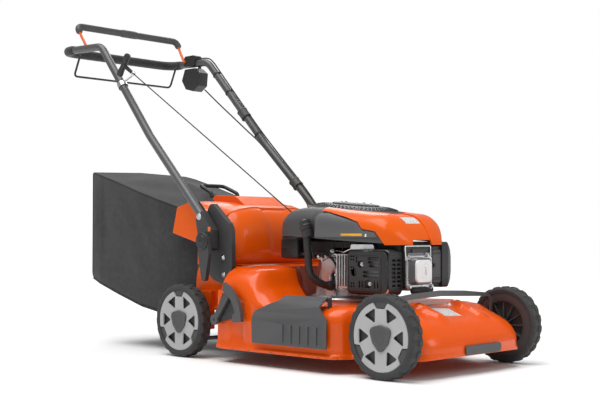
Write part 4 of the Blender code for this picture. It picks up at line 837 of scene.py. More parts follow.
def housing():
    """Domed duct housing, the flap over it with its finger pocket, and a cheek at each side."""
    low = 0.2655

    def dome(inset):
        points = [(0.056, low), (0.0625, 0.278), (0.0668, 0.292)]
        points += [(-0.005 + 0.0718 * cos(radians(t)), 0.298 + 0.1325 * sin(radians(t)))
                   for t in range(4, 77, 6)]
        points.append((0.0118, 0.43))
        return [(x - inset, z - inset * (z > 0.3)) for x, z in points]

    def section(y):
        drop, back = 1.0 - 0.27 * fall(y), 0.016 * fall(y)
        swell = 0.005 * ease(abs(y), 0.052, 0.064) * (1 - ease(abs(y), 0.16, 0.185))
        outer = [(x - back + swell * (z > 0.295), low + (z - low) * drop + swell * (z > 0.32))
                 for x, z in dome(0.0)]
        outer += [(-0.02, low + 0.1515 * drop), (-0.1, low + 0.15 * drop)]
        inner = [(-0.1, low + 0.1465 * drop), (-0.02, low + 0.148 * drop)]
        inner += [(x - back, low + (z - low) * drop) for x, z in reversed(dome(0.0035))]
        return outer + inner

    arched("housing_shell", section, "deck", stands_for=["rear_housing"])
    ends = []
    for sign in (-1, 1):
        near, far = sorted((sign * 0.196, sign * 0.1998))
        outline = section(0.2)[:len(dome(0.0)) + 2] + [(-0.1, low)]
        ends.append(prism(outline, "Y", near, far))
    make("housing_ends", joined(ends), "hood")
    lip = [[(0.06, y, low + 0.0005), (0.06, y, low + 0.003), (0.074, y, low + 0.003),
            (0.074, y, low + 0.0005)] for y in (-0.196, 0.196)]
    make("housing_lip", skin(lip), "hood", bevel=0.0008)

    crest = [(0.0085, 0.4335), (-0.03, 0.443), (-0.0655, 0.45), (-0.12, 0.454), (-0.15, 0.455),
             (-0.162, 0.45), (-0.166, 0.438)]

    def hood(y):
        def sunk(x, z):
            return x, z - fall(y) * (0.046 - 0.038 * ease(-x, 0.0, 0.12))

        under = [sunk(x + 0.0035 * (x < -0.155), z - 0.0042) for x, z in reversed(crest)]
        return [sunk(x, z) for x, z in crest] + under

    arched("flap_hood", hood, "rear_flap", half=0.204, stands_for=["rear_flap"], bevel=0.0012, angle=40)
    pocket = [(-0.16, 0.448), (-0.1625, 0.466), (-0.152, 0.4735), (-0.062, 0.4695), (-0.015, 0.438),
              (-0.06, 0.444)]
    recess = prism([(-0.14, 0.5), (-0.14, 0.456), (-0.066, 0.453), (-0.066, 0.5)], "Y", -0.06, 0.06)
    make("flap_pocket", prism(pocket, "Y", -0.085, 0.085), "hood", "rear_flap", bevel=0.0042, segments=4,
         minus=[recess])
    cheek = [(-0.1976, 0.3577), (-0.1765, 0.4356), (-0.1212, 0.4478), (-0.03, 0.42), (-0.03, 0.33),
             (-0.0622, 0.3226)]
    for side, near, far in (("right", -0.218, -0.2035), ("left", 0.2035, 0.218)):
        make(f"flap_cheek_{side}", prism(cheek, "Y", near, far), "hood", "rear_flap", bevel=0.0045,
             segments=3)


housing()


# ---------------------------------------------------------------- engine shroud and its trim
SHROUD_STATIONS = (
    # x, right half width, left half width, top, bottom
    (0.152, 0.085, 0.085, 0.392, 0.35), (0.166, 0.115, 0.115, 0.412, 0.35), (0.2, 0.13, 0.13, 0.426, 0.35),
    (0.262, 0.134, 0.134, 0.431, 0.346), (0.312, 0.137, 0.137, 0.43, 0.344),
    (0.33, 0.15, 0.15, 0.428, 0.343),
    (0.42, 0.151, 0.148, 0.416, 0.338), (0.48, 0.15, 0.138, 0.41, 0.335),
    (0.53, 0.148, 0.12, 0.405, 0.3325),
    (0.56, 0.143, 0.102, 0.394, 0.331), (0.58, 0.128, 0.082, 0.376, 0.329),
    (0.594, 0.104, 0.064, 0.354, 0.328),
    (0.6, 0.08, 0.05, 0.336, 0.3275),
)
SHROUD_FAIR = [fair([s[0] for s in SHROUD_STATIONS], [s[i] for s in SHROUD_STATIONS]) for i in range(1, 5)]
DOME, DOME_A, DOME_B = (0.345, 0.0), 0.146, 0.098
PANEL_PROUD, CAP_PROUD = 0.0022, 0.0034


def shroud_form(inset, low=None):
    """The shroud's outside, drawn in by inset; low reaches further down."""
    first, last = SHROUD_STATIONS[0][0], SHROUD_STATIONS[-1][0]
    rings = []
    for k in range(61):
        t = k / 60
        x = first + (last - first) * (t - 0.05 * sin(2 * pi * t))
        right, left, top, bottom = (f(x) for f in SHROUD_FAIR)
        top -= inset
        bottom = bottom if low is None else low
        rise = min(0.55 * (top - bottom), 0.045)

        def side(half):
            points = [(half, bottom), (half, bottom + 0.006)]
            return points + [(half - 0.055 * (1 - cos(radians(9 * n))) - 0.002,
                              top - rise + rise * sin(radians(9 * n))) for n in range(11)]

        near, far = side(left - inset), [(-y, z) for y, z in reversed(side(right - inset))]
        crown = [(near[-1][0] + (far[0][0] - near[-1][0]) * n / 13, top) for n in range(1, 13)]
        shift = inset if k == 0 else -inset if k == 60 else 0.0
        rings.append([(x + shift, y, z) for y, z in near + crown + far])
    return skin(rings)


def ellipse(scale, grow=0.0):
    """The recoil dome's outline in plan, scaled and then grown."""
    return [(DOME[0] + (DOME_A * scale + grow) * u, (DOME_B * scale + grow) * v)
            for u, v in circle(1.0, 64)]


def shroud():
    """Gray blower shroud with its raised side panels and the orange cap on top."""
    opening = prism(ellipse(1.0), "Z", 0.3, 0.5)
    filler = rod((0.19, 0.078, 0.36), (0.19, 0.078, 0.5), 0.0215, 32)
    notch = [(-0.072, 0.3), (0.018, 0.3), (0.006, 0.339), (-0.069, 0.339)]
    cap_seat = block((0.556, -0.078, 0.3), (0.7, 0.018, 0.5))
    make("shroud_body", shroud_form(0.0), "gray",
         minus=[shroud_form(0.003, 0.3), opening, filler, cap_seat], stands_for=["engine_shroud"])
    side = [(0.3285, 0.33), (0.3285, 0.3421), (0.324, 0.3713), (0.325, 0.396), (0.333, 0.411),
            (0.364, 0.4125), (0.478, 0.384), (0.496, 0.365), (0.538, 0.3585), (0.552, 0.34), (0.554, 0.33)]
    panel = raw("shroud_panels", shroud_form(-PANEL_PROUD, 0.3445), M["panel"])
    carve(panel, [prism(side, "Y", -0.3, 0.3)], "INTERSECT")
    carve(panel, [prism(ellipse(1.0, grow=0.0125), "Z", 0.3, 0.5),
                  block((0.3, -0.122, 0.3), (0.6, 0.122, 0.5)),
                  block((0.3, -0.3, 0.3), (0.6, 0.3, 0.3462))])
    soften(panel, 0.0012, 2)
    place(panel, "deck", slot="gray_plastic")
    cap_line = [(0.34, 0.4185), (0.3657, 0.415), (0.44, 0.3985), (0.479, 0.3868), (0.4975, 0.3685),
                (0.54, 0.362), (0.556, 0.343), (0.564, 0.3315), (0.568, 0.3262), (0.7, 0.3262), (0.7, 0.46),
                (0.34, 0.46)]
    cap = raw("shroud_cap", shroud_form(-CAP_PROUD, 0.3262), M["hood"])
    carve(cap, [prism(cap_line, "Y", -0.3, 0.3)], "INTERSECT")
    carve(cap, [shroud_form(0.0005, 0.3), prism(ellipse(1.0, grow=0.0105), "Z", 0.3, 0.5),
                prism(notch, "X", 0.585, 0.7)])
    hollow = raw("cap_hollow", block((0.505, -0.069, 0.3), (0.7, 0.006, 0.46)), M["hood"])
    carve(hollow, [shroud_form(-0.0006, 0.28)])
    carve(cap, [taken(hollow)])
    soften(cap, 0.0016, 2)
    place(cap, "deck", slot="orange_plastic")


def dome_height(x, rise):
    """A height above the dome's plane, which leans forward."""
    return 0.4195 - 0.09 * (x - DOME[0]) + rise


def recoil_trim():
    """Mesh band of small slots round the dome, its bezel and its plain top disc."""
    bezel = [[(x, y, dome_height(x, rise)) for x, y in ellipse(1.0, grow=grow)]
             for rise, grow in ((-0.004, 0.007), (0.0025, 0.007), (0.0045, 0.0045), (0.0045, 0.001),
                                (0.0025, -0.001), (-0.004, -0.001))]
    make("dome_bezel", skin(bezel, closed=True), "gray")
    ribs = []
    count, half_width, lift = 58, 0.016, Vector((0, 0, 0.0016))
    rows = ((0.76, 0.83, 0.015, 0.013), (0.85, 0.92, 0.0125, 0.0098))
    for row, (inner, outer, low, high) in enumerate(rows):
        for k in range(count):
            a = 2 * pi * (k + 0.5 * row) / count
            corners = []
            for scale, rise, turn in ((inner, low, -half_width), (inner, low, half_width),
                                      (outer, high, half_width), (outer, high, -half_width)):
                x, y = DOME[0] + DOME_A * scale * cos(a + turn), DOME_B * scale * sin(a + turn)
                corners.append(Vector((x, y, dome_height(x, rise))))
            ribs.append(skin([[c - lift for c in corners], [c + lift for c in corners]]))
    make("dome_mesh", joined(ribs), "black", slot="gray_plastic")
    disc = [[(x, y, dome_height(x, rise)) for x, y in ellipse(scale)]
            for scale, rise in ((0.52, 0.0165), (0.52, 0.02), (0.5, 0.0212), (0.2, 0.0216))]
    make("dome_disc", skin(disc), "gray")
    spots = []
    for k in range(5):
        a = 2 * pi * k / 5 + 0.3
        x, y = DOME[0] + DOME_A * 0.34 * cos(a), DOME_B * 0.34 * sin(a)
        spots.append((x, y, dome_height(x, 0.0212)))
    bolts("dome_screws", spots, (0.09, 0, 1), 0.0032, 0.0052, 0.003)


def panel_on_shroud(name, mat, x0, x1, z0, z1):
    """A thin sticker laid on the right side panel."""
    def grid(lift):
        rows = []
        for i in range(7):
            x = x0 + (x1 - x0) * i / 6
            y = -(SHROUD_FAIR[0](x) + PANEL_PROUD + lift)
            rows.append([(x, y, z0), (x, y + 0.0006, z1)])
        return rows

    make(name, slab_of(grid(0.0), grid(0.0004)), mat)


shroud()
recoil_trim()
laid_label("cap_label", lambda x, y: SHROUD_FAIR[2](x) + 0.0006, (0.552, 0.575), (-0.064, -0.004), 0.0,
           "orange_plastic")
panel_on_shroud("shroud_sticker", "sticker", 0.424, 0.498, 0.35, 0.356)
panel_on_shroud("shroud_mark", "white", 0.508, 0.513, 0.3475, 0.355)


# ---------------------------------------------------------------- engine details
def guard():
    """Louvred heat guard with slots, square vents and round holes over the hot muffler."""
    low, high = (Vector(corner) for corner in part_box("muffler_guard"))
    low += Vector((-0.003, -0.002, -0.0085))
    high += Vector((0.008, 0.0, 0.0085))
    near, far, wall = low.y, high.y, 0.0028
    cx, cz = (low.x + high.x) / 2, (low.z + high.z) / 2
    rings = []
    for depth, draw in ((0.0, 0.01), (0.0035, 0.0035), (0.0095, 0.0), (far - near, 0.0)):
        sx, sz = 1 - draw / (high.x - cx), 1 - draw / (high.z - cz)
        rings.append([(cx + (x - cx) * sx, near + depth, cz + (z - cz) * sz)
                      for x, z in rounded((low.x, low.z), (high.x, high.z), 0.016, 8)])
    shell = raw("guard_shell", skin(rings), M["black"])
    hollow = rounded((low.x + wall, low.z + wall), (high.x - wall, high.z - wall), 0.013, 6)
    cuts = [prism(hollow, "Y", near + wall, far + 0.02)]
    slots = [(0.513 + 0.004 * (z < 0.27), 0.544, z - 0.0006, z + 0.006) for z in (0.285, 0.2765, 0.268)]
    slots += [(0.499, 0.544, z - 0.0006, z + 0.0058) for z in (0.253, 0.244)]
    slots += [(x, x + 0.0046, 0.218, 0.235) for x in (0.487, 0.4955, 0.504, 0.53, 0.5385)]
    slots += [(x, x + 0.0045, z, z + 0.0045) for z in (0.29, 0.283, 0.264, 0.257, 0.226, 0.219)
              for x in (0.463, 0.47)]
    slots.append((0.479, 0.483, 0.278, 0.292))
    middle, wider, taller = (0.46, 0.255), 1.2, 1.1
    for slot in slots:
        x0, x1 = (middle[0] + (x - middle[0]) * wider for x in slot[:2])
        z0, z1 = (middle[1] + (z - middle[1]) * taller for z in slot[2:])
        outline = rounded((x0, z0), (x1, z1), min(x1 - x0, z1 - z0) * 0.42, 4)
        cuts.append(prism(outline, "Y", near - 0.01, near + 0.012))
    for x, z, r in ((0.498, 0.276, 0.01), (0.476, 0.254, 0.0105), (0.525, 0.2255, 0.011)):
        cuts.append(rod((x, near - 0.01, z), (x, near + 0.012, z), r, 28))
    for k in range(7):
        z = 0.219 + 0.0108 * k
        for y in (near + 0.016, near + 0.036):
            cuts.append(block((high.x - 0.008, y, z), (high.x + 0.01, y + 0.014, z + 0.006)))
    carve(shell, cuts)
    soften(shell, 0.0005, 1, 35)
    place(shell, "deck", stands_for=["muffler_guard"])
    outside = rounded((0.453, 0.2065), (0.569, 0.304), 0.012, 6)
    inside = rounded((0.457, 0.2105), (0.565, 0.3), 0.009, 6)
    rings = [[(x, near + rise, z) for x, z in outline]
             for outline, rise in ((outside, 0.0006), (outside, -0.0012), (inside, -0.0012),
                                   (inside, 0.0006))]
    make("guard_frame", skin(rings, closed=True), "black", bevel=0.0004)
    bolts("guard_screws", [(0.501, near + 0.0045, 0.276), (0.528, near + 0.0045, 0.2255)], (0, -1, 0),
          0.0034, 0.0056, 0.0035)


def head():
    """Valve cover with its bright plate and flange, breather frame, plug boot and lead."""
    body = tiers(((0.6053, 1.0), (0.62, 0.985), (0.6325, 0.96)), (-0.094, 0.224), (-0.028, 0.294), 0.01)
    make("valve_body", body, "iron", bevel=0.0015, stands_for=["valve_cover"])
    plate = tiers(((0.631, 0.97), (0.6318, 1.0), (0.636, 1.0), (0.6378, 0.96), (0.6382, 0.8)),
                  (-0.0975, 0.23), (-0.0335, 0.288), 0.0115)
    make("valve_plate", plate, "plate", angle=24)
    emboss = tiers(((0.6378, 1.0), (0.6388, 0.97), (0.6388, 0.86), (0.638, 0.83)), (-0.0745, 0.24),
                   (-0.0475, 0.28), 0.005, 5)
    make("valve_emboss", emboss, "plate", angle=24)
    bolts("valve_rivets", [(0.6384, -0.061, z) for z in (0.252, 0.259, 0.268)], (1, 0, 0), 0.0022, 0.0036,
          0.0016, slot="aluminium")
    pad("head_flange", "X", (-0.099, 0.212), (0.006, 0.2985), 0.01, 0.6005, 0.607, "bright", bevel=0.0014,
        minus=[prism(rounded((-0.09, 0.2225), (-0.003, 0.29), 0.008, 4), "X", 0.59, 0.62)])
    corners = ((-0.093, 0.218), (-0.093, 0.2925), (0.0, 0.218), (-0.018, 0.299))
    bolts("head_bolts", [(0.6068, y, z) for y, z in corners], (1, 0, 0), 0.005, 0.0074, 0.006)
    pad("head_back", "X", (-0.0975, 0.214), (0.004, 0.327), 0.006, 0.59, 0.601, "black", 4, bevel=0.0012)
    pad("head_breather", "X", (-0.074, 0.304), (-0.016, 0.316), 0.003, 0.6, 0.604, "charcoal", 4,
        bevel=0.001)
    rail = bent([(0.6045, -0.101, 0.286), (0.6045, -0.105, 0.3235), (0.6045, 0.003, 0.3235),
                 (0.6045, 0.003, 0.296)], 0.005, 5)
    make("head_rail", swept(rail, 0.0018, 10), "bright", slot="steel")

    def boot_shape(t, a):
        belly, end = 0.9 + 0.1 * sin(pi * t), 0.72 + 0.28 * ease(min(t, 1 - t), 0.0, 0.07)
        return belly * end + 0.14 * (0.7 < t < 0.76)

    boot = filled([(0.612, -0.085, 0.207), (0.612, -0.01, 0.206)], 0.004)
    make("plug_boot", swept(boot, 0.0105, 20, boot_shape), "foam")
    lead = smooth([(0.611, -0.01, 0.206), (0.609, 0.004, 0.207), (0.6, 0.012, 0.218), (0.596, 0.013, 0.25),
                   (0.595, 0.013, 0.3), (0.593, 0.011, 0.328)], 6)
    make("plug_lead", swept(lead, 0.0034, 12), "foam")


def block_details():
    """Bolts, ribs, springs, linkage and pipes on and round the crankcase."""
    bolts("case_bolts", [(x, y, 0.177) for x, y in circle(0.0915, 8, (ENGINE_X, 0.0))], (0, 0, 1), 0.005,
          0.0078, 0.005)
    band = [[(x, y, z) for x, y in circle(r, 64, (ENGINE_X, 0.0))]
            for z, r in ((0.1995, 0.083), (0.203, 0.0845), (0.2055, 0.083), (0.2055, 0.076),
                         (0.1995, 0.076))]
    make("case_band", skin(band, closed=True), "cast")
    pad("case_cover", "Y", (0.2875, 0.215), (0.3495, 0.29), 0.016, -0.06, -0.0815, "cast", 6, bevel=0.0025,
        segments=3)
    spots = [(x, -0.0815, z) for x, z in ((0.293, 0.222), (0.344, 0.222), (0.293, 0.283), (0.344, 0.283))]
    bolts("case_cover_bolts", spots, (0, -1, 0), 0.0036, 0.0056, 0.0038)
    fins = [block((0.372 + 0.0095 * k, -0.112, 0.214), (0.375 + 0.0095 * k, -0.093, 0.3)) for k in range(6)]
    make("case_fins", joined(fins), "cast", bevel=0.0008)
    foot = [(0.088, 0.1655), (0.112, 0.1655), (0.113, 0.168), (0.113, 0.176), (0.111, 0.1785),
            (0.099, 0.18), (0.093, 0.185), (0.088, 0.185)]
    make("case_flange", turned(foot, (ENGINE_X, 0, 0), (0, 0, 1), 96), "cast")
    fuel = smooth([(0.228, -0.095, 0.3), (0.27, -0.112, 0.296), (0.318, -0.11, 0.302),
                   (0.35, -0.104, 0.286), (0.364, -0.096, 0.256), (0.36, -0.086, 0.23)], 8)
    make("fuel_line", swept(fuel, 0.0034, 14), "foam")
    plate = prism([(0.348, 0.302), (0.356, 0.318), (0.418, 0.318), (0.424, 0.306), (0.406, 0.298),
                   (0.37, 0.296)], "Y", -0.108, -0.106)
    holes = [rod((x, -0.12, 0.308), (x, -0.09, 0.308), 0.0026, 16) for x in (0.366, 0.386, 0.406)]
    make("governor_plate", plate, "zinc", bevel=0.0006, minus=holes)
    nuts = [bolt_head((x, y, z), (0, -1, 0), size, size * 1.5, 0.006)
            for x, y, z, size in ((0.2994, -0.1, 0.292, 0.0052), (0.3265, -0.1, 0.2944, 0.004),
                                  (0.37, -0.1075, 0.244, 0.0038), (0.356, -0.109, 0.308, 0.0036))]
    make("case_nuts", joined(nuts), "zinc")
    routes = (([(0.306, -0.083, 0.216), (0.342, -0.084, 0.262), (0.364, -0.084, 0.272)], 0.0036),
              ([(0.348, -0.084, 0.262), (0.348, -0.085, 0.205)], 0.0044),
              ([(0.324, -0.084, 0.242), (0.324, -0.085, 0.205)], 0.0034))
    webs = [swept(route, radius, 10) for route, radius in routes]
    make("case_webs", joined(webs), "cast")
    # A near-black pad on the aluminium case, in the shadow finish: painted shade in its recess.
    pad("case_recess_shade", "Y", (0.33, 0.208), (0.344, 0.248), 0.003, -0.079, -0.0822, "dark", 4,
        slot="aluminium")
    link = bent([(0.352, -0.094, 0.318), (0.352, -0.104, 0.312), (0.4, -0.112, 0.306),
                 (0.44, -0.108, 0.322)], 0.006, 5)
    make("throttle_rod", swept(link, 0.0018, 8), "zinc")
    turns, radius = 11, 0.0042
    coil = [(0.352 - 0.036 * t, -0.098 - 0.006 * t + radius * sin(2 * pi * turns * t),
             0.312 - 0.03 * t + radius * cos(2 * pi * turns * t)) for t in np.linspace(0, 1, 150)]
    make("governor_spring", swept(coil, 0.0007, 6), "zinc")
    pad("heat_shield", "Y", (0.43, 0.309), (0.512, 0.328), 0.006, -0.12, -0.104, "zinc", 4, bevel=0.001)
    pad("tank_seam", "Z", (0.1525, -0.1115), (0.2245, 0.1115), 0.014, 0.315, 0.318, "black", 6,
        bevel=0.0012)
    mouth, way = Vector((0.296, -0.152, 0.376)), Vector((-0.036, -0.017, 0.151)).normalized()
    route = smooth([(0.34, -0.09, 0.212), (0.327, -0.12, 0.218), (0.308, -0.146, 0.245),
                    (0.302, -0.15, 0.3), mouth], 8)
    make("oil_pipe", swept(route, 0.0105, 24, lambda t, a: 1.0 + 0.3 * (1 - ease(t, 0.1, 0.16))), "black",
         stands_for=["oil_tube"])
    lid = [(0.0125, -0.03), (0.0165, -0.03), (0.017, -0.012), (0.015, -0.01), (0.0172, -0.008),
           (0.0172, 0.004), (0.015, 0.0065), (0.001, 0.007), (0.001, 0.004), (0.0125, 0.003)]
    make("dipstick_lid", turned(lid, mouth, way, 36), "black", "dipstick", bevel=0.0008)


def air_filter():
    """Air filter: case with a sunk front panel, flange and a bulged outer cover."""
    pad("filter_case", "X", (0.024, 0.216), (0.086, 0.3225), 0.008, 0.548, 0.5925, "black", bevel=0.001,
        stands_for=["air_filter_box"])
    front = [[(x, y, z) for y, z in rounded((0.023 + d, 0.225 + d), (0.06 - d, 0.313 - d), 0.005, 4)]
             for x, d in ((0.592, 0.0), (0.595, 0.0), (0.5962, 0.0012))]
    make("filter_panel", skin(front), "gray", slot="black_plastic", angle=24)
    ribs = [block((0.594, 0.026, z), (0.5975, 0.0575, z + 0.0018)) for z in (0.233, 0.2375, 0.301, 0.3055)]
    make("filter_ribs", joined(ribs), "black", bevel=0.0004)
    pad("filter_flange", "Y", (0.564, 0.212), (0.6, 0.334), 0.007, 0.06, 0.088, "black", bevel=0.0016)
    cover = [[(x, y, z) for x, z in rounded((rear, low), (near, high), 0.006, 5)]
             for y, low, high, rear, near in ((0.0882, 0.215, 0.331, 0.567, 0.599),
                                              (0.093, 0.219, 0.327, 0.569, 0.5985),
                                              (0.101, 0.23, 0.317, 0.57, 0.596),
                                              (0.109, 0.248, 0.299, 0.571, 0.5925),
                                              (0.112, 0.253, 0.294, 0.573, 0.59))]
    make("filter_cover", skin(cover), "gray", slot="black_plastic", bevel=0.001, angle=24)
    bolts("filter_knob", [(0.5955, 0.0265, 0.272)], (1, 0, 0), 0.0048, 0.007, 0.006, "black")


def duct():
    """Black cooling duct between the shroud and the engine, made near black as painted shade under the
    shroud, and the tank's rim under the shroud.
    """
    ribs = [block((0.36 + 0.03 * k, -0.11, 0.303), (0.364 + 0.03 * k, -0.106, 0.329)) for k in range(7)]
    body = prism(rounded((0.235, -0.108), (0.588, 0.06), 0.016, 6), "Z", 0.299, 0.3345)
    # The duct uses the near-black shadow finish: a black part darkened further as painted shade under the
    # shroud.
    make("cooling_duct", joined([body] + ribs), "dark", bevel=0.0016)
    pad("tank_rim", "Z", (0.154, -0.11), (0.223, 0.11), 0.014, 0.34, 0.3495, "charcoal", 6, bevel=0.0014)


guard()
head()
block_details()
air_filter()
duct()


# ---------------------------------------------------------------- handle
TUBE_LOW, TUBE_BEND, TUBE_TOP = (-0.0185, 0.408), (-0.27, 0.653), (-0.5445, 0.96)
BAR, TOP_Y, TUBE_R, BEND_R = (-0.757, 0.966), 0.228, 0.0125, 0.055
FOLD, BAIL_FOOT, BAIL_LEG, BAIL_TOP = (0.015, 0.335), (-0.6525, 0.972), (-0.678, 1.01), (-0.7005, 1.048)
DRIVE_PIVOT = (-0.695, 0.95)


def mirrored(points, radius, steps=10):
    """The right half's points bent, then carried over to the left half."""
    return bent(list(points) + [(x, -y, z) for x, y, z in reversed(points)], radius, steps)


def tube_line():
    """Middle line of the bent handle tube."""
    return mirrored([(TUBE_LOW[0], -0.256, TUBE_LOW[1]), (TUBE_BEND[0], -0.246, TUBE_BEND[1]),
                     (TUBE_TOP[0], -TOP_Y, TUBE_TOP[1]), (BAR[0], -TOP_Y - 0.004, BAR[1])], BEND_R, 12)


def crossbar(start_x):
    """Middle line of the tube's crossbar, from start_x on one side to the same on the other."""
    slope = (BAR[1] - TUBE_TOP[1]) / (BAR[0] - TUBE_TOP[0])
    return mirrored([(start_x, -TOP_Y - 0.0028, BAR[1] + slope * (start_x - BAR[0])),
                     (BAR[0], -TOP_Y - 0.004, BAR[1])], BEND_R, 12)


def collar(name, at, way, radius, length, mat="gray"):
    """A short moulded sleeve with rolled ends round a tube."""
    h, r = length / 2, radius
    half = [(r, h - 0.0014), (r, h - 0.004), (r - 0.0012, h - 0.006)]
    ends = [(r - 0.0026, h), (r - 0.0006, h)]
    outline = [(u, -v) for u, v in ends + half] + [(u, v) for u, v in reversed(ends + half)]
    make(name, turned(outline, at, way, 32), mat, "handle")


def handle():
    """Bent tube, foam crossbar grip, both bails, sleeves, bolts, fold bosses and the control clip."""
    make("handle_pipe", swept(tube_line(), TUBE_R, 28), "tube", "handle", stands_for=["handle_tube"])

    def foam_shape(t, a):
        return (1.0 - 0.1 * (t < 0.004 or t > 0.996)) * (1.0 + 0.012 * sin(t * 900))

    foam = swept(filled(crossbar(-0.69)), 0.0155, 28, foam_shape)
    make("bar_foam", foam, "foam", "handle", stands_for=["handle_grip"])
    legs = [(BAIL_FOOT[0], -0.214, BAIL_FOOT[1]), (BAIL_FOOT[0], -0.208, BAIL_FOOT[1]),
            (BAIL_LEG[0], -0.212, BAIL_LEG[1]), (BAIL_TOP[0], -0.214, BAIL_TOP[1])]
    make("brake_bail_wire", swept(mirrored(legs, 0.014), 0.0045, 16), "marker", "brake_bail",
         stands_for=["brake_bail"])
    slope = (BAIL_TOP[0] - BAIL_LEG[0]) / (BAIL_TOP[1] - BAIL_LEG[1])
    top = [(BAIL_TOP[0] - slope * 0.022, -0.214 + 0.0012, BAIL_TOP[1] - 0.022),
           (BAIL_TOP[0], -0.214, BAIL_TOP[1])]
    sleeve = filled(mirrored(top, 0.02), 0.006)

    def sleeve_shape(t, a):
        end = 0.82 if t < 0.004 or t > 0.996 else 1.0
        return end * (1.0 + 0.2 * ease(0.5 - abs(t - 0.5), 0.432, 0.446) * (0.75 + 0.25 * cos(a - 1.2)))

    make("brake_bail_sleeve", swept(sleeve, 0.0115, 28, sleeve_shape), "gray", "brake_bail",
         stands_for=["brake_bail_grip"])
    px, pz = DRIVE_PIVOT
    wire = mirrored([(px, -0.2135, pz), (px, -0.206, pz), (-0.7275, -0.2065, 0.884)], 0.014)
    make("drive_bail_wire", swept(wire, 0.0035, 14), "black", "drive_bail", stands_for=["drive_bail"])
    for side, sign in (("right", -1), ("left", 1)):
        low = Vector((TUBE_LOW[0], sign * 0.256, TUBE_LOW[1]))
        bend = Vector((TUBE_BEND[0], sign * 0.246, TUBE_BEND[1]))
        top = Vector((TUBE_TOP[0], sign * TOP_Y, TUBE_TOP[1]))
        way = (bend - low).normalized()
        if sign > 0:
            collar("cable_sleeve_low", low + way * 0.16, way, 0.0185, 0.03)
            collar("cable_sleeve_high", bend.lerp(top, 0.36), (top - bend).normalized(), 0.0185, 0.034)
            for n, share in enumerate((0.12, 0.62, 0.84)):
                collar(f"cable_tie_{n}", bend.lerp(top, share), (top - bend).normalized(), 0.0146, 0.0045,
                       "black")
        y = sign * 0.269
        bolts(f"bracket_bolt_{side}", [(-0.0154, y, 0.4045)], (0, sign, 0), 0.0062, 0.0098, 0.0052,
              body="handle")
        boss = [(0.0008, 0.0), (0.0245, 0.0), (0.0245, 0.003), (0.0225, 0.0046), (0.016, 0.005),
                (0.015, 0.0064), (0.006, 0.0068), (0.005, 0.0052), (0.0008, 0.0052)]
        make(f"fold_boss_{side}", turned(boss, (FOLD[0], sign * 0.283, FOLD[1]), (0, sign, 0), 40), "black",
             f"clamp_{side}")
        mark = block((0.0245, min(y, y + sign * 0.0014), 0.362), (0.0345, max(y, y + sign * 0.0014), 0.375))
        make(f"fold_mark_{side}", mark, "marker", "handle", bevel=0.0003)
        spots = [(x, sign * 0.24, z) for x, z in ((0.079, 0.224), (0.0546, 0.2874), (0.0573, 0.2389))]
        bolts(f"cover_bolts_{side}", spots, (0, sign, 0), 0.0052, 0.008, 0.0044)
    pad("control_clip", "Y", (-0.656, 0.952), (-0.596, 0.99), 0.01, 0.2125, 0.243, "black", body="handle",
        bevel=0.003, segments=3, minus=[swept(tube_line(), TUBE_R + 0.0002, 24)])


CABLE_R = 0.0024
BRAKE_ROUTE = ((-0.6, 0.232, 0.9776), (-0.569, 0.232, 0.9772), (-0.539, 0.2325, 0.9712),
               (-0.5152, 0.233, 0.953), (-0.504, 0.2335, 0.9405), (-0.3955, 0.24, 0.817),
               (-0.2857, 0.247, 0.6942), (-0.1836, 0.252, 0.5908), (-0.1081, 0.254, 0.5173),
               (-0.0452, 0.247, 0.4561), (-0.024, 0.226, 0.433), (-0.009, 0.2145, 0.41),
               (0.02, 0.2112, 0.372), (0.06, 0.2112, 0.328), (0.1, 0.2, 0.305), (0.14, 0.17, 0.298),
               (0.178, 0.136, 0.3))
DRIVE_ROUTE = ((-0.574, 0.24, 0.866), (-0.5, 0.238, 0.812), (-0.42, 0.234, 0.757), (-0.345, 0.231, 0.705),
               (-0.285, 0.2292, 0.663), (-0.22, 0.231, 0.604), (-0.14, 0.234, 0.526),
               (-0.075, 0.233, 0.463), (-0.048, 0.2225, 0.432), (-0.026, 0.213, 0.398),
               (-0.014, 0.2112, 0.355), (-0.014, 0.2112, 0.3), (-0.024, 0.2112, 0.25),
               (-0.052, 0.2112, 0.215), (-0.078, 0.2115, 0.18), (-0.088, 0.217, 0.15),
               (-0.088, 0.214, 0.124), (-0.08, 0.19, 0.112), (-0.06, 0.09, 0.108), (-0.05, 0.052, 0.106))


def linked(name, bm, node=None):
    """A cord's piece, fixed in place in the world; the CAD node it stands for, if one is given, is hidden.
    """
    cord = raw(name, bm, M["foam"])
    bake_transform(cord)
    if node:
        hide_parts(node)


def cords():
    """The starter's pull grip, its rope and both control cables."""
    guide, end = Vector((-0.335, -0.26, 0.848)), Vector((0.15, -0.056, 0.416))
    way = (end - guide).normalized()
    start = guide - way * 0.0065
    middle, cross = start - way * 0.038, Vector((0.7, -0.1, 0.7))
    cross = (cross - way * cross.dot(way)).normalized()

    def bar_shape(t, a):
        return (0.72 + 0.28 * ease(min(t, 1 - t), 0.0, 0.05)) * (1.0 - 0.1 * cos(pi * (2 * t - 1)))

    bar = swept([middle + cross * (0.08 * t - 0.04) for t in np.linspace(0, 1, 33)], 0.0095, 24, bar_shape)
    neck = [start - way * (0.038 * t) for t in np.linspace(0, 1, 12)]
    stem = swept(neck, 0.0066, 20, lambda t, a: 0.86 + 0.34 * t * t)
    make("pull_grip", joined([bar, stem]), "black", "starter_grip", stands_for=["starter_grip"])
    line = [end.lerp(guide + way * 0.0003, k / 46) for k in range(47)]
    linked("pull_rope", swept(line, 0.0018, 10), "starter_rope")
    short = [guide.lerp(middle, k / 16) for k in range(17)]
    linked("pull_rope_end", swept(short, 0.0016, 10))
    for name, route in (("brake_cable", BRAKE_ROUTE), ("drive_cable", DRIVE_ROUTE)):
        linked(f"{name}_sheath", swept(smooth(route, 6), CABLE_R, 12),
               name)


handle()
cords()


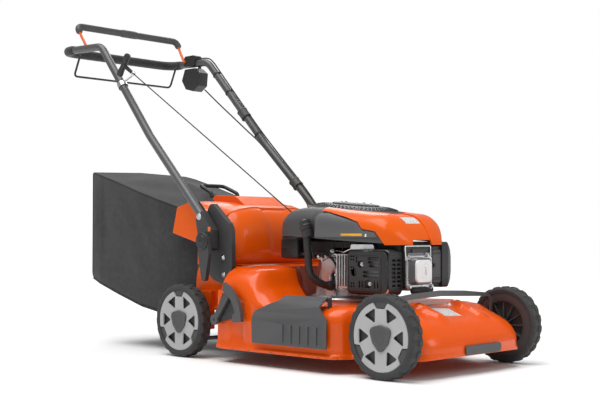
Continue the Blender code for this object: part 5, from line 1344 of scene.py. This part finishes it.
# ---------------------------------------------------------------- grass bag
BAG_STATIONS = (
    # x, half width, bottom, side crease, ridge
    (-0.113, 0.178, 0.172, 0.395, 0.405), (-0.16, 0.187, 0.153, 0.4, 0.412),
    (-0.176, 0.19, 0.147, 0.428, 0.459), (-0.205, 0.196, 0.135, 0.437, 0.466),
    (-0.283, 0.203, 0.11, 0.459, 0.492), (-0.3725, 0.205, 0.125, 0.484, 0.52),
    (-0.49, 0.205, 0.158, 0.52, 0.545), (-0.5825, 0.203, 0.186, 0.546, 0.557),
    (-0.6275, 0.198, 0.202, 0.556, 0.562),
)
BAG_X = [s[0] for s in BAG_STATIONS]
CLOTH, BACK_Z = 0.0013, 0.36


def bag_at(x):
    """Half width, bottom, crease and ridge at x."""
    return [float(np.interp(-x, [-v for v in BAG_X], [s[i] for s in BAG_STATIONS])) for i in range(1, 5)]


def bag_outline(x, inset):
    """One cross-section of the bag, hanging in between its seams, as (y, z): from the middle of its floor,
    up one side, over the ridge and down the other."""
    half, low, crease, ridge = bag_at(x)
    span = ease(-x, 0.12, 0.22) * (1 - ease(-x, 0.56, 0.625))
    foot, edge = low + 0.03, crease - 0.004
    points = [(half * (0.9 * k / 4), low) for k in range(5)]
    for k in range(1, 5):
        a = 0.5 * pi * k / 4
        points.append((half * (0.9 + 0.1 * sin(a)), low + 0.03 * (1 - cos(a))))
    for k in range(1, 25):
        t = k / 24
        z = foot + (edge - foot) * t
        pull = 0.0085 * span * sin(pi * t) ** 0.8
        fold = noise.noise(Vector((x * 7.0 + z * 5.0, z * 3.0 - x * 2.0,
                                   2.0))) * 0.0045 * span * sin(pi * t)
        fold += noise.noise(Vector((x * 22.0 + z * 14.0, z * 6.0, 5.0))) * 0.0016 * span * sin(pi * t)
        points.append((half - pull + fold, z))
    points += [(half - 0.0045 * t, edge + 0.004 * t) for t in (0.5, 1.0)]
    for k in range(1, 21):
        t = k / 20
        y = (half - 0.0045) * (1 - t)
        sag = (0.006 + 0.004 * noise.noise(Vector((x * 9.0, y * 9.0, 3.0)))) * span * sin(pi * t)
        points.append((y, crease + (ridge - crease) * t - max(sag, 0.0)))
    centre = Vector((0.0, (low + crease) / 2))
    drawn = []
    for y, z in points:
        off = (Vector((y, z)) - centre).normalized() * inset * 1.15
        drawn.append((y - off.x if y > 1e-6 else y, z - off.y))
    return drawn + [(-y, z) for y, z in reversed(drawn[1:-1])]


def bag_back(x, inset):
    """The bag's back panel as rings that shrink to its middle, with a slight belly."""
    rings = []
    for share in (0.94, 0.8, 0.6, 0.4, 0.2):
        ring = []
        for y, z in bag_outline(x, inset):
            dy, dz = y * share, (z - BACK_Z) * share
            belly = 0.006 * (1 - share ** 2) * (1 + 0.5 * noise.noise(Vector((dy * 9, dz * 9, 7.0))))
            ring.append((x + belly, dy, BACK_Z + dz))
        rings.append(ring)
    return rings


def bag():
    """The fabric bag with its piped seams and their stitches."""
    xs = [BAG_X[0] + (BAG_X[-1] - BAG_X[0]) * k / 90 for k in range(91)]
    last = xs[-1]
    shell = [[(x, y, z) for y, z in bag_outline(x, 0.0)] for x in xs] + bag_back(last, 0.0)
    lining = [[(x + CLOTH * (x == last), y, z) for y, z in bag_outline(x, CLOTH)] for x in xs]
    lining += [[(x + CLOTH, y, z) for x, y, z in ring] for ring in bag_back(last, CLOTH)]
    bm = bmesh.new()

    def band(a, b):
        for k in range(len(a)):
            j = (k + 1) % len(a)
            bm.faces.new((a[k], a[j], b[j], b[k]))

    mouths = []
    for rings in (shell, lining):
        rows = [[bm.verts.new(p) for p in ring] for ring in rings]
        for a, b in zip(rows, rows[1:]):
            band(a, b)
        bm.faces.new(rows[-1])
        mouths.append(rows[0])
    band(*mouths)
    bmesh.ops.recalc_face_normals(bm, faces=bm.faces)
    cloth = raw("bag_cloth", bm, M["cloth"], 40)
    place(cloth, "bag", slot="fabric", stands_for=["bag_fabric"])
    seams, stitches = [], []
    for sign in (-1, 1):
        crease, hem = [], []
        for x in xs[10:]:
            half, low, side, _ = bag_at(x)
            crease.append((x, sign * (half - 0.002), side - 0.0005))
            hem.append((x, sign * half * 0.985, low + 0.0085))
        seams += [swept(crease, 0.0021, 8), swept(hem[2:], 0.0019, 8)]
        for k in range(110):
            x = -0.15 - 0.47 * k / 109
            half, _, side, _ = bag_at(x)
            y = sign * (half - 0.0016)
            stitches.append(swept([(x, y, side - 0.0075), (x - 0.0026, y, side - 0.0068)], 0.00045, 5))
    rim = [(last - 0.0002, y, z) for y, z in bag_outline(last, 0.0006)][4:-4]
    seams.append(swept(rim, 0.0021, 8))
    piping = make("bag_piping", joined(seams), "tape", "bag")
    make("bag_stitches", joined(stitches), "gray", "bag", slot="fabric")


bag()


# ---------------------------------------------------------------- stage
def staged(name, data, at=(0.0, 0.0, 0.0), way=(0.0, 0.0, -1.0)):
    """A light or camera in the scene, looking along way."""
    thing = bpy.data.objects.new(name, data)
    thing.location = at
    thing.rotation_euler = Vector(way).to_track_quat("-Z", "Y").to_euler()
    bpy.context.scene.collection.objects.link(thing)
    return thing


def studio():
    """Pale floor, soft light from above and the camera."""
    bm = skin([[(-40, y, -0.0004), (40, y, -0.0004)] for y in (-40, 40)], caps=False, strip=True)
    paper = finish("floor_white", (0.9, 0.9, 0.9), 0.75, vary=0.004, patch=2.0, specular=0.1)
    raw("floor", bm, paper)
    world = bpy.data.worlds.new("studio")
    world.use_nodes = True
    nodes, links = world.node_tree.nodes, world.node_tree.links
    soft, plain = nodes["Background"], nodes.new("ShaderNodeBackground")
    for background, strength in ((soft, 0.36), (plain, 1.0)):
        background.inputs["Color"].default_value = (1.0, 1.0, 1.0, 1.0)
        background.inputs["Strength"].default_value = strength
    seen = nodes.new("ShaderNodeMixShader")
    links.new(nodes.new("ShaderNodeLightPath").outputs["Is Camera Ray"], seen.inputs["Fac"])
    links.new(soft.outputs[0], seen.inputs[1])
    links.new(plain.outputs[0], seen.inputs[2])
    links.new(seen.outputs[0], nodes["World Output"].inputs["Surface"])
    bpy.context.scene.world = world
    for name, at, aim, size, power in (("key", (1.6, -2.2, 3.4), (0.1, 0.0, 0.3), 1.4, 20.0),
                                       ("fill", (3.4, 1.2, 1.8), (0.3, 0.0, 0.3), 1.4, 22.0),
                                       ("rim", (-2.2, 2.6, 2.8), (0.0, 0.0, 0.4), 1.6, 30.0)):
        lamp = bpy.data.lights.new(name, "AREA")
        lamp.shape, lamp.size, lamp.energy = "SQUARE", size, power
        staged(name, lamp, at, Vector(aim) - Vector(at))
    sun = bpy.data.lights.new("sky_panel", "SUN")
    sun.energy, sun.angle = 2.6, radians(50)
    staged("sky_panel", sun).rotation_euler = (radians(14), radians(-8), 0.0)
    lens = bpy.data.cameras.new("camera")
    lens.lens, lens.sensor_width, lens.clip_end = 66.9, 36.0, 200.0
    azimuth, rise = radians(43.98), radians(-1.72)
    back = Vector((sin(azimuth) * cos(rise), -cos(azimuth) * cos(rise), sin(rise)))
    bpy.context.scene.camera = staged("camera", lens, (2.4088, -2.3646, 0.3563), -back)
    bpy.context.scene.view_settings.view_transform = "Standard"


studio()
